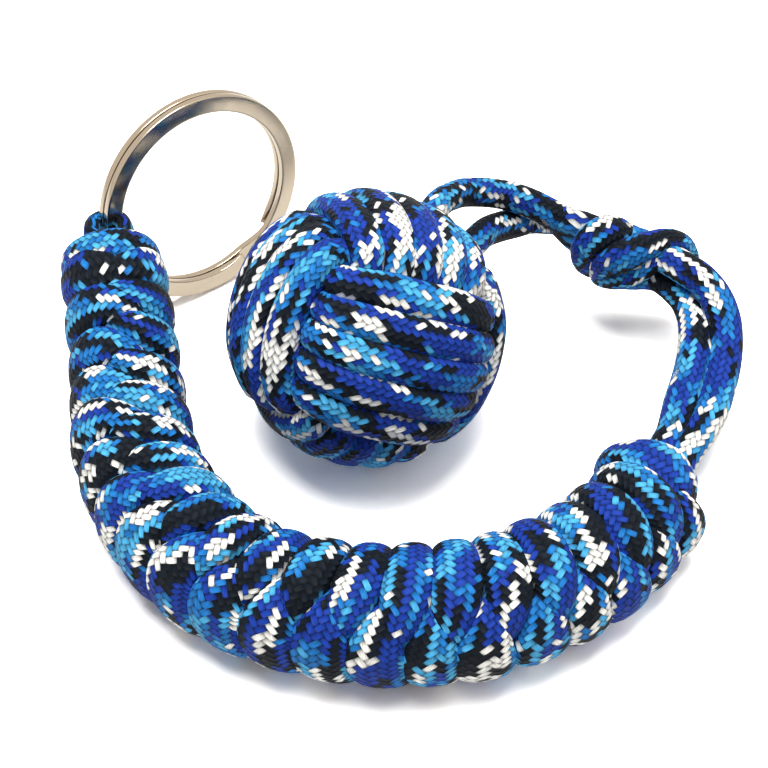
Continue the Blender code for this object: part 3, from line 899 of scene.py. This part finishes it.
@dataclass(frozen=True)
class LobeForm:
    """How a cord of the bar lies round one turn: the degrees, then millimetres at each."""

    EASED_DEG = 33

    hand: int
    seed: int
    middle: float
    degrees: tuple[float, ...]
    shift: tuple[float, ...]
    reach: tuple[float, ...]
    width: tuple[float, ...]

    def eased(self, values: tuple[float, ...]) -> Array:
        """Values for each degree of a turn, the middle one of three, eased between places."""
        places = np.concatenate([np.array(self.degrees[:-1]) + 360 * k for k in range(-1, 3)])
        plain = np.interp(np.arange(-540, 541), places, np.tile(values[:-1], 4))
        kernel = np.hanning(self.EASED_DEG)
        return np.convolve(plain, kernel / kernel.sum(), mode="same")[360:721]


@dataclass
class BarWinding:
    """Two cords knotted round the core, so that their lobes close over each other."""

    layout: Layout
    lobes: int = 21
    start: float = 0.0031
    end: float = 0.0056
    last_lobe: float = 0.6
    plain_radius_mm: float = 8.45
    plain_spacing: float = 0.0062
    overlap: float = 1.07
    near: float = 0.0038
    far: float = 0.0050
    near_lean: float = -0.0004
    far_lean: float = -0.0037
    near_reach: float = 0.012
    far_reach: tuple[float, float] = (0.013, 0.003)
    hidden_deg: tuple[float, float] = (40.0, 160.0)
    fade_near: float = 0.016
    fade_far: float = 0.012
    swing: float = 1.35
    swing_fall: float = 0.5
    swing_least: float = 0.3
    thickness: float = 0.0029
    swell: float = 0.0012
    swell_mm: tuple[float, float] = (5.2, 8.0)
    loose_place: float = 0.00022
    loose_reach: float = 0.00012
    loose_width: float = 0.03
    spread: tuple[float, float] = (0.72, 1.3)
    least_gap: float = 1e-6
    pass_points: int = 76
    pass_deg: tuple[float, float] = (95.0, 150.0)
    pass_at: float = 0.0008
    pass_reach: float = 0.0076
    pass_width: float = 0.0056
    pass_thickness: float = 0.0036
    pass_side: float = 0.0004
    pass_lows: tuple[float, ...] = (0.0006, 0.0018, 0.0012)
    core_short: float = 0.0060
    core_points: int = 120
    steps: int = 60
    seam_deg: tuple[float, ...] = (-16.0, 10.0, 45.0, 55.0)
    seam_at: tuple[float, ...] = (0.0, 0.35, 0.62, 1.0)
    inner: LobeForm = LobeForm(
        1, 5, -1.6,
        (-180, -150, -120, -90, -60, -30, -10, 8, 22, 40, 70, 120, 150, 180),
        (1.6, 1.1, 0.5, 0.0, -0.35, -1.0, -1.6, -2.3, -2.8, -3.1, -2.6, -0.5, 0.8, 1.6),
        (7.7, 8.3, 8.45, 8.45, 8.5, 8.5, 8.35, 7.9, 7.0, 6.0, 5.2, 5.2, 6.2, 7.7),
        (5.2, 6.1, 6.5, 6.6, 6.6, 6.2, 5.3, 4.3, 3.5, 3.0, 3.0, 3.0, 3.6, 5.2))
    outer: LobeForm = LobeForm(
        -1, 6, 2.2,
        (-180, -150, -120, -60, -30, -15, 0, 15, 40, 65, 90, 120, 150, 180),
        (3.6, 3.4, 3.2, 3.0, 3.2, 2.8, 2.3, 1.8, 1.4, 1.8, 2.6, 2.9, 3.2, 3.6),
        (7.7, 6.2, 5.2, 5.2, 5.9, 6.9, 7.8, 8.35, 8.6, 8.55, 8.45, 8.45, 8.3, 7.7),
        (5.2, 3.6, 3.0, 3.0, 3.0, 3.4, 4.3, 5.4, 6.7, 6.7, 6.6, 6.5, 6.1, 5.2))

    def _spacing(self) -> float:
        """The distance from one lobe to the next."""
        covered = self.layout.bar.length - self.start - self.end
        return covered / (self.lobes - self.last_lobe)

    def _out(self, distance: float, degrees: float) -> Array:
        """The direction out of the bar at an angle from its seam."""
        bar = self.layout.bar
        share = distance / bar.length
        angle = math.radians(float(np.interp(share, self.seam_at, self.seam_deg)))
        ahead, right = bar.heading(distance), bar.right(distance)
        seam = between(np.cross(right, ahead), right, angle)
        return between(seam, np.cross(ahead, seam), math.radians(degrees))

    def _middle(self, distance: float) -> Array:
        """The middle of the winding, which leans aside at both ends of the bar."""
        left = self.layout.bar.length - distance
        near = 1 - ease(distance, 0.0, self.near_reach)
        aside = self.near_lean * near + self.far_lean * ease(left, *self.far_reach)
        return self.layout.bar.at(distance) + np.array((aside, 0.0, 0.0))

    def _cord(self, name: str, form: LobeForm, seed: float, slot: Slot, node: str) -> None:
        """Makes one of the two cords, unbroken from end to end.

        Args:
            name: The piece's name.
            form: How it lies round the bar.
            seed: Chooses the place in the cord's dye pattern.
            slot: The record's slot of its finish.
            node: The solid that it replaces.
        """
        length, spacing = self.layout.bar.length, self._spacing()
        sway = np.random.default_rng(form.seed).uniform(-1, 1, (self.lobes + 2, 3))
        tables = [form.eased(values) for values in (form.shift, form.reach, form.width)]
        rows = []
        for index in range(self.lobes * self.steps + 1):
            lobe, within = divmod(360 * index / self.steps, 360)
            climb = ease(within - 180, *self.hidden_deg)
            azimuth = (within - 180) * form.hand
            shift, reach, width = (
                np.interp(azimuth + 180, np.arange(361), table) for table in tables)
            loose = sway[int(lobe)] * (1 - climb) + sway[int(lobe) + 1] * climb
            plain = self.start + spacing * (lobe + climb)
            ends = ease(plain, 0.0, self.fade_near) * ease(length - plain, 0.0, self.fade_far)
            swing = self.swing - self.swing_fall * plain / length
            swing *= self.swing_least + (1 - self.swing_least) * ends
            moved = (shift - form.middle) * swing + form.middle * ends
            distance = plain + moved * MM + self.loose_place * loose[0]
            distance = min(max(distance, self.near), length - self.far)
            drawn = self.layout.radius(distance) / self.plain_radius_mm
            surface = reach * MM * drawn + self.loose_reach * loose[1]
            thick = self.thickness + self.swell * ease(surface / MM, *self.swell_mm)
            out = self._out(distance, azimuth)
            centre = self._middle(distance) + out * (surface - thick / 2)
            wide = width * MM * spacing / self.plain_spacing
            rows.append((centre, out, wide * (1 + self.loose_width * loose[2]), thick))
        centres, outward, widths, thicknesses = map(np.array, zip(*rows))
        sweep = Sweep(name, sides=20, roundness=2.3, floor=0.0)
        sweep.tube(self.layout.place(centres), outward,
                   widths * self._stretch(centres) * self.overlap, thicknesses)
        if form is self.outer:
            self._end_pass(sweep)
        sweep.build(sweep.cord(seed, white=0.594, royal=0.472), "bar", slot, node)

    def _end_pass(self, sweep: Sweep) -> None:
        """Adds the pass that closes the ring end of the bar."""
        rows = []
        for degrees in np.linspace(-self.pass_deg[1], self.pass_deg[1], self.pass_points):
            lows = np.array(self.pass_lows) * ease(abs(degrees), *self.pass_deg)
            distance = self.pass_at + lows[0]
            out = self._out(distance, degrees)
            reach = self.pass_reach - self.pass_side * abs(math.sin(math.radians(degrees)))
            reach -= lows[1] + self.pass_thickness / 2
            rows.append((self._middle(distance) + out * reach, out, self.pass_width - lows[2]))
        centres, *shape = zip(*rows)
        sweep.tube(self.layout.place(centres), *shape, self.pass_thickness)

    def _stretch(self, centres: Array) -> Array:
        """How far apart neighbouring lobes lie there, against the bar's middle line."""
        number = len(centres)
        ahead = headings(centres)
        later = centres[np.minimum(np.arange(number) + self.steps, number - 1)]
        earlier = centres[np.maximum(np.arange(number) - self.steps, 0)]
        after, before = (lengths(square_to(near, ahead))
                         for near in (later - centres, centres - earlier))
        both = np.where(before < self.least_gap, after, (after + before) / 2)
        gap = np.where(after < self.least_gap, before, both)
        return np.clip(gap / self._spacing(), *self.spread)

    def build(self) -> None:
        """Makes both cords and the core."""
        self._cord("bar_cord_inner", self.inner, 17.9, Slot.ROYAL, "bar_wrap_a")
        self._cord("bar_cord_outer", self.outer, 23.3, Slot.AZURE, "bar_wrap_b")
        layout = self.layout
        last = layout.bar.length - self.core_short
        spans = np.linspace(-layout.core_end, last, self.core_points)
        for letter, side, seed in (("a", 1, 32.1), ("b", -1, 30.1)):
            line = np.array([
                layout.bar.at(d) + layout.bar.right(d) * layout.pair * side for d in spans
            ])
            sweep = Sweep(f"core_cord_{letter}")
            sweep.tube(layout.place(line), steady_outward(line, UP), layout.cord, layout.cord)
            sweep.build(sweep.cord(seed), "bar", Slot.CORE, f"core_strand_{letter}")


# Lanyard


@dataclass
class Lanyard:
    """The two lower legs, the overhand knot and the two upper legs."""

    layout: Layout
    width: float = 0.0048
    thickness: float = 0.0041
    into_bar: float = 0.0045
    into_knot: float = 0.0055
    into_fist: float = 0.0050
    short_of_knot: float = 0.0028
    pinch_length: float = 0.007
    bar_pinch: float = 0.62
    knot_pinch: float = 0.45
    upper_spread: float = 0.6
    step: float = 0.0006
    lower_points: int = 18
    bend_start: float = 0.001
    bend_length: float = 0.007

    def _bend(self, near: str, far: str, distance: float) -> Bend:
        """The bend of the legs across the joint where they leave a piece."""
        ahead = self.layout.legs.heading(distance)
        start = self.layout.legs.at(distance) + ahead * self.bend_start
        end = start + ahead * self.bend_length
        return Bend(near, far, self.layout.place(start), self.layout.place(end))

    def _leg(self, name: str, points: list[Array], bend: Bend, seed: float,
             sideways: Array) -> None:
        """Args:
            name: Which leg it is.
            points: The points down its middle.
            bend: The bend between the bodies that it joins.
            seed: Chooses the place in the cord's dye pattern.
            sideways: A direction square to its start.
        """
        line = Route(points).spaced(self.step)
        sweep = Sweep(name.replace("leg", "cord"), sides=24)
        placed = self.layout.place(line)
        sweep.tube(placed, steady_outward(line, sideways), self.width, self.thickness)
        piece = sweep.build(sweep.cord(seed, pick_mm=LOOSE_PICK_MM), bend, Slot.AZURE, name)

    def _lower(self) -> None:
        """Makes the legs between the bar and the knot."""
        layout = self.layout
        legs = layout.legs
        last = legs.length - self.short_of_knot
        bend = self._bend("bar", "lower_lanyard", 0.0)
        spans = np.linspace(-self.into_bar, last, self.lower_points)
        at_knot = 1 - self.knot_pinch * ease(spans, last - self.pinch_length, last)
        at_bar = self.bar_pinch + (1 - self.bar_pinch) * ease(spans, 0.0, self.pinch_length)
        for name, side, seed in (("lower_leg_a", 1, 41.7), ("lower_leg_b", -1, 47.3)):
            points = [
                legs.at(d) + layout.pair_side(max(d, 0.0)) * layout.pair * side * pinched
                for d, pinched in zip(spans, at_knot * at_bar)
            ]
            self._leg(name, points, bend, seed, UP)

    def _upper(self) -> None:
        """Makes the legs between the knot and the fist."""
        layout = self.layout
        legs = layout.legs
        ahead = legs.heading(legs.length)
        aside = layout.pair_side(legs.length) * layout.pair * self.upper_spread
        bend = self._bend("lower_lanyard", "upper_lanyard", legs.length)
        rows = (
            ("upper_leg_a", layout.upper_a_mm, 1, 53.9),
            ("upper_leg_b", layout.upper_b_mm, -1, 59.1),
        )
        for name, points_mm, side, seed in rows:
            start = legs.at(legs.length) + aside * side
            points = np.array(points_mm) * MM
            last = points[-1]
            inward = unit(layout.fist_centre - last)
            line = [start - ahead * self.into_knot, start, *points,
                    last + inward * self.into_fist]
            self._leg(name, line, bend, seed, np.cross(ahead, UP))

    def build(self) -> None:
        """Makes the four legs and the knot."""
        self._lower()
        self._upper()
        OverhandKnot(self.layout).build()


@dataclass(frozen=True)
class KnotStrand:
    """One strand of the knot: places in pixels, then millimetres of depth and width."""

    thickness: float
    points: tuple[tuple[float, float, float, float], ...]


@dataclass
class OverhandKnot:
    """The overhand knot tied in both legs, drawn tight."""

    layout: Layout
    middle: Point = (0.0388, 0.0200, 0.0150)
    per_mm: float = 6.76
    origin: tuple[float, float] = (629.4, 248.0)
    above: Point = (0.0, 0.743, 0.669)
    toward: Point = (0.0, -0.669, 0.743)
    core: tuple[tuple[float, float], ...] = ((-9.0, 2.2), (8.5, -1.0))
    step: float = 0.0005
    strands: tuple[KnotStrand, ...] = (
        KnotStrand(3.7, (
            (634, 252, -3.4, 3.4), (634, 241, -1.9, 4.2), (622, 234, 1.2, 4.8),
            (608, 233, 3.4, 5.1), (594, 239, 4.2, 5.1), (584, 247, 3.2, 4.6),
            (583, 256, 0.6, 3.8), (591, 263, -2.2, 3.6), (607, 264, -3.9, 3.7),
            (622, 261, -4.2, 3.6), (633, 254, -3.7, 3.2), (635, 245, -2.6, 2.8))),
        KnotStrand(3.7, (
            (611, 274, -3.2, 3.2), (604, 272, -1.4, 3.8), (602, 268, 1.4, 4.3),
            (607, 264, 3.8, 4.7), (618, 259, 5.2, 4.8), (631, 253, 5.4, 4.5),
            (646, 247, 4.8, 4.0), (661, 243, 3.8, 3.5), (675, 245, 2.2, 3.4),
            (684, 251, 0.4, 3.5), (689, 260, -1.4, 3.6), (685, 268, -3.2, 3.7),
            (672, 271, -4.5, 3.8), (653, 272, -4.9, 3.8), (634, 273, -4.7, 3.8),
            (618, 274, -3.8, 3.5), (607, 273, -2.0, 3.0))),
        KnotStrand(3.5, (
            (613, 264, -2.4, 3.0), (603, 273, -1.8, 3.4), (611, 278, 0.8, 3.6),
            (624, 277, 2.2, 3.6), (638, 270, 3.2, 3.6), (651, 260, 3.4, 3.5),
            (664, 252, 3.0, 3.4), (676, 249, 1.4, 3.4), (682, 254, -1.6, 3.4))),
        KnotStrand(3.8, (
            (691, 306, 3.4, 3.2), (678, 290, 1.5, 3.7), (663, 281, 0.2, 3.9),
            (648, 277, -0.4, 3.9), (634, 277, -0.6, 3.8), (620, 276, -1.2, 3.6))),
        KnotStrand(5.8, (
            (590, 242, -1.0, 6.6), (606, 248, 0.2, 6.8), (624, 254, 0.6, 6.8),
            (640, 257, 0.2, 6.6))),
    )

    def _spots(self, level: Array, rise: Array, depth: Array) -> Array:
        """Places in the knot, from millimetres to the right, up and towards the camera."""
        right, above, toward = np.eye(3)[0], np.array(self.above), np.array(self.toward)
        local = right * level[:, None] + above * rise[:, None] + toward * depth[:, None]
        return np.array(self.middle) + local * MM

    def build(self) -> None:
        """Makes the knot from the strands that show, nested as they lie."""
        level, rise = np.array(self.core).T
        core = Route(self._spots(level, rise, np.zeros(2)))
        sweep = Sweep("overhand_knot_strands", sides=20, roundness=2.2)
        for strand in self.strands:
            across, down, depth, wide = np.array(strand.points).T
            spots = self._spots((across - self.origin[0]) / self.per_mm,
                                (self.origin[1] - down) / self.per_mm, depth)
            points = Route(spots).spaced(self.step)
            given = [nearest(points, spot) for spot in spots]
            widths = np.interp(np.arange(len(points)), given, wide) * MM
            inside = core.dense[[nearest(core.dense, point) for point in points]]
            sweep.tube(self.layout.place(points), points - inside, widths,
                       strand.thickness * MM)
        sweep.build(sweep.cord(83.1, "overhand_knot", pick_mm=1.15), "lower_lanyard",
                    Slot.ROYAL, "overhand_knot")


# Ring and loop


@dataclass
class RingAndLoop:
    """The split ring and the tight bight of cord that holds it."""

    layout: Layout
    diameter: float = 0.034
    wire_width: float = 0.0022
    coil: float = 0.00085
    coil_gap: float = 0.0002
    ramp_deg: float = 24.0
    start_deg: float = 250.0
    heading_deg: float = 37.6
    lean_deg: float = 6.6
    grip_deg: float = 8.0
    rest_gap: float = 0.00005
    loop_cord: float = 0.0034
    eye_clearance: float = 0.0004
    eye_offset: float = 0.0063
    segments: int = 150
    shown_diameter: float = 0.0333
    shown_width: float = 0.0026
    shown_coil: float = 0.00112
    shown_lift: float = 0.00068
    taper: float = 0.32
    taper_deg: float = 11.0
    nearer: float = 0.0010
    loop_width: float = 0.0025
    loop_thickness: float = 0.0037
    loop_back: float = 0.0006
    loop_step: float = 0.0005
    into_bar: float = 0.003
    straight: float = 0.45
    spread_back: float = 0.15
    bulge_at: tuple[float, ...] = (0.35, 0.7)
    turn_points: int = 13

    def _axes(self) -> tuple[Array, Array, Array]:
        """The ring's own axis, the level direction towards the bar, and the way up it."""
        level = between(np.eye(3)[0], np.eye(3)[1], math.radians(self.heading_deg))
        axis = between(np.cross(level, UP), UP, math.radians(self.lean_deg))
        return axis, -level, unit(np.cross(-level, axis))

    def _grip(self) -> tuple[Array, Array]:
        """The direction to where the loop holds the wire, and the one along the wire."""
        _, level, upward = self._axes()
        angle = math.radians(self.grip_deg)
        return between(level, upward, angle), between(upward, -level, angle)

    def _wire_radius(self) -> float:
        """The radius of the middle of the ring's wire."""
        return (self.diameter - self.wire_width) / 2

    def _line(self) -> tuple[Array, Array, Array]:
        """The loop's start, its first direction and the one square to the wire."""
        layout = self.layout
        start = layout.bar.at(-layout.core_end - layout.seat_gap)
        ahead = -layout.bar.heading(0.0)
        _, along = self._grip()
        return start, ahead, unit(ahead - along * np.dot(ahead, along))

    def _eye(self) -> Array:
        """The middle of the loop's eye."""
        start, ahead, level = self._line()
        eye = start + (ahead + level) / 2 * self.eye_offset
        axis, _, _ = self._axes()
        half = self.coil + self.coil_gap / 2
        rest = self.diameter / 2 * math.hypot(axis[0], axis[1]) + half * abs(axis[2])
        arm, _ = self._grip()
        eye[2] = rest + self.rest_gap + arm[2] * self._wire_radius()
        eye[1] -= self.nearer
        return eye

    def _ring(self) -> None:
        """Makes the ring: one flat wire of two coils with its ends laid over each other."""
        axis, level, upward = self._axes()
        arm, _ = self._grip()
        centre = self._eye() - arm * self._wire_radius()
        turn, ramp = 2 * math.pi, math.radians(self.ramp_deg)
        reach = 2 * turn - ramp
        angles = np.linspace(0, reach, 2 * self.segments)
        lift = self.shown_lift * (1 - 2 * ease(angles, turn - ramp, turn))
        start = math.radians(self.start_deg)
        arms = np.array([between(level, upward, angle + start) for angle in angles])
        middle = (self.shown_diameter - self.shown_width) / 2
        points = centre + arms * middle + axis * lift[:, None]
        full = ease(np.minimum(angles, reach - angles), 0.0, math.radians(self.taper_deg))
        sweep = Sweep("split_ring_wire", sides=28, roundness=9.0)
        sweep.tube(self.layout.place(points), np.broadcast_to(axis, points.shape),
                   self.shown_width, self.shown_coil * (self.taper + (1 - self.taper) * full))
        sweep.build(PolishedSteel().material(), "ring", Slot.STEEL, "split_ring")

    def _loop(self) -> None:
        """Makes the loop: out beside the bar's axis, round the wire and back."""
        layout = self.layout
        start, ahead, level = self._line()
        sideways = layout.bar.right(0.0)
        square = unit(np.cross(level, np.cross(sideways, level)))
        bow = self.coil + self.eye_clearance / 2 + self.loop_width / 2
        eye = self._eye() - level * self.loop_back
        sides = []
        for side in (1, -1):
            root = start + sideways * layout.pair * side
            straight = root + ahead * self.loop_cord * self.straight
            spread = eye + square * bow * side - level * bow * self.spread_back
            leg = [root - ahead * self.into_bar, root, straight]
            for share in self.bulge_at:
                bulge = square * (ease(share, 0.0, 1.0) - share) * side * layout.pair
                leg.append(straight + (spread - straight) * share + bulge)
            sides.append(leg)
        half = np.linspace(0, math.pi, self.turn_points)
        turn = [eye + between(square * bow, level * bow, angle) for angle in half]
        line = Route(sides[0] + turn + sides[1][::-1]).spaced(self.loop_step)
        sweep = Sweep("end_loop_cord", sides=20)
        flat = np.broadcast_to(np.cross(square, level), line.shape)
        sweep.tube(layout.place(line), flat, self.loop_width, self.loop_thickness)
        sweep.build(sweep.cord(71.9, "end_loop", royal=0.4, white=0.62), "loop", Slot.AZURE,
                    "end_loop")

    def build(self) -> None:
        """Makes the ring and the loop."""
        self._ring()
        self._loop()


# Studio


@dataclass(frozen=True)
class Lamp:
    """A soft square lamp: where it hangs, its side, its watts and its colour."""

    name: str
    place: Point
    size: float
    power: float
    colour: tuple[float, float, float]


@dataclass
class Studio:
    """The pale table, the soft light and the camera."""

    layout: Layout
    lens_px: float = 1500.0
    frame_px: float = 768.0
    sensor_mm: float = 36.0
    near_clip: float = 0.01
    elevation_deg: float = 48.0
    eye: Point = (0.00247, -0.14358, 0.16658)
    aim: Point = (0.0, 0.0, 0.01)
    table: float = 3.0
    plain: Colour = (0.8, 0.8, 0.8, 1.0)
    table_lit: float = 0.85
    table_seen: float = 1.15
    pale_from: float = 0.2
    pale_rise: float = 90.0
    sky: Colour = (1.0, 0.93, 0.85, 1.0)
    sky_seen: Colour = (1.0, 1.0, 1.0, 1.0)
    sky_strength: float = 0.25
    sky_mirrored: float = 0.95
    lamps: tuple[Lamp, ...] = (
        Lamp("key", (-0.03, 0.028, 0.60), 0.37, 5.2, (1.0, 0.985, 0.95)),
        Lamp("fill", (0.35, -0.10, 0.60), 0.60, 0.9, (1.0, 0.95, 0.89)),
    )

    def _camera(self) -> None:
        """Places the camera where the photograph was taken from."""
        data = bpy.data.cameras.new("camera")
        data.sensor_width = self.sensor_mm
        data.lens = data.sensor_width * self.lens_px / self.frame_px
        data.clip_start = self.near_clip
        camera = add_object("camera", data)
        camera.location = Vector(self.layout.place(self.eye))
        camera.rotation_euler = (math.radians(90 - self.elevation_deg), 0.0, 0.0)
        bpy.context.scene.camera = camera

    def _table(self) -> None:
        """Makes the pale table, which the camera sees as white away from the object."""
        half = self.table / 2
        mesh = bpy.data.meshes.new("table")
        corners = [(-half, -half, 0), (half, -half, 0), (half, half, 0), (-half, half, 0)]
        mesh.from_pydata(corners, [], [(0, 1, 2, 3)])
        top = add_object("table", mesh)
        made, g, shader = new_material("pale_table", self.plain)
        seen = g.read(g.node("ShaderNodeLightPath"), "Is Camera Ray")
        place = g.read(g.node("ShaderNodeNewGeometry"), "Position")
        away = g.read(g.node("ShaderNodeVectorMath", {0: place}, operation="LENGTH"), "Value")
        beyond = g.math("MAXIMUM", away - self.pale_from, 0.0)
        level = seen * (beyond * beyond * self.pale_rise + self.table_seen) + self.table_lit
        g.fill(shader, {"Base Color": g.combine(level, level, level), "Roughness": 0.9,
                        "Specular IOR Level": 0.1})
        mesh.materials.append(made)

    def _world(self) -> None:
        """Sets an even pale surrounding."""
        world = bpy.data.worlds.new("surround")
        bpy.context.scene.world = world
        world.use_nodes = True
        g = Graph(world.node_tree)
        path = g.node("ShaderNodeLightPath")
        seen = g.read(path, "Is Camera Ray")
        shiny = g.read(path, "Is Glossy Ray") * self.sky_mirrored
        strength = g.math("MAXIMUM", seen, g.math("MAXIMUM", shiny, self.sky_strength))
        g.fill(world.node_tree.nodes["Background"], {
            "Color": g.mix_colour(seen, self.sky, self.sky_seen), "Strength": strength})

    def _lamp(self, lamp: Lamp) -> None:
        """Hangs a lamp that faces the fist."""
        data = bpy.data.lights.new(lamp.name, "AREA")
        data.shape = "SQUARE"
        data.size = lamp.size
        data.energy = lamp.power
        data.color = lamp.colour
        made = add_object(lamp.name, data)
        spot, aim = (Vector(self.layout.place(place)) for place in (lamp.place, self.aim))
        made.location = spot
        made.rotation_euler = (aim - spot).to_track_quat("-Z", "Y").to_euler()

    def build(self) -> None:
        """Makes the table, the lamps and the camera."""
        self._camera()
        self._table()
        self._world()
        for lamp in self.lamps:
            self._lamp(lamp)
        bpy.context.scene.view_settings.view_transform = "Standard"


def main() -> None:
    """Builds the key chain and its setting."""
    logging.basicConfig(level=logging.INFO, format="%(message)s")
    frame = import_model()
    LOG.info("frame loaded: %d nodes", len(frame["nodes"]))
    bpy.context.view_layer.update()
    low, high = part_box("core_ball")
    layout = Layout(np.array(((low[0] + high[0]) / 2, (low[1] + high[1]) / 2, 0.0)))
    Studio(layout).build()
    Lanyard(layout).build()
    FistWinding(layout).build()
    BarWinding(layout).build()
    RingAndLoop(layout).build()


if __name__ == "__main__":
    main()
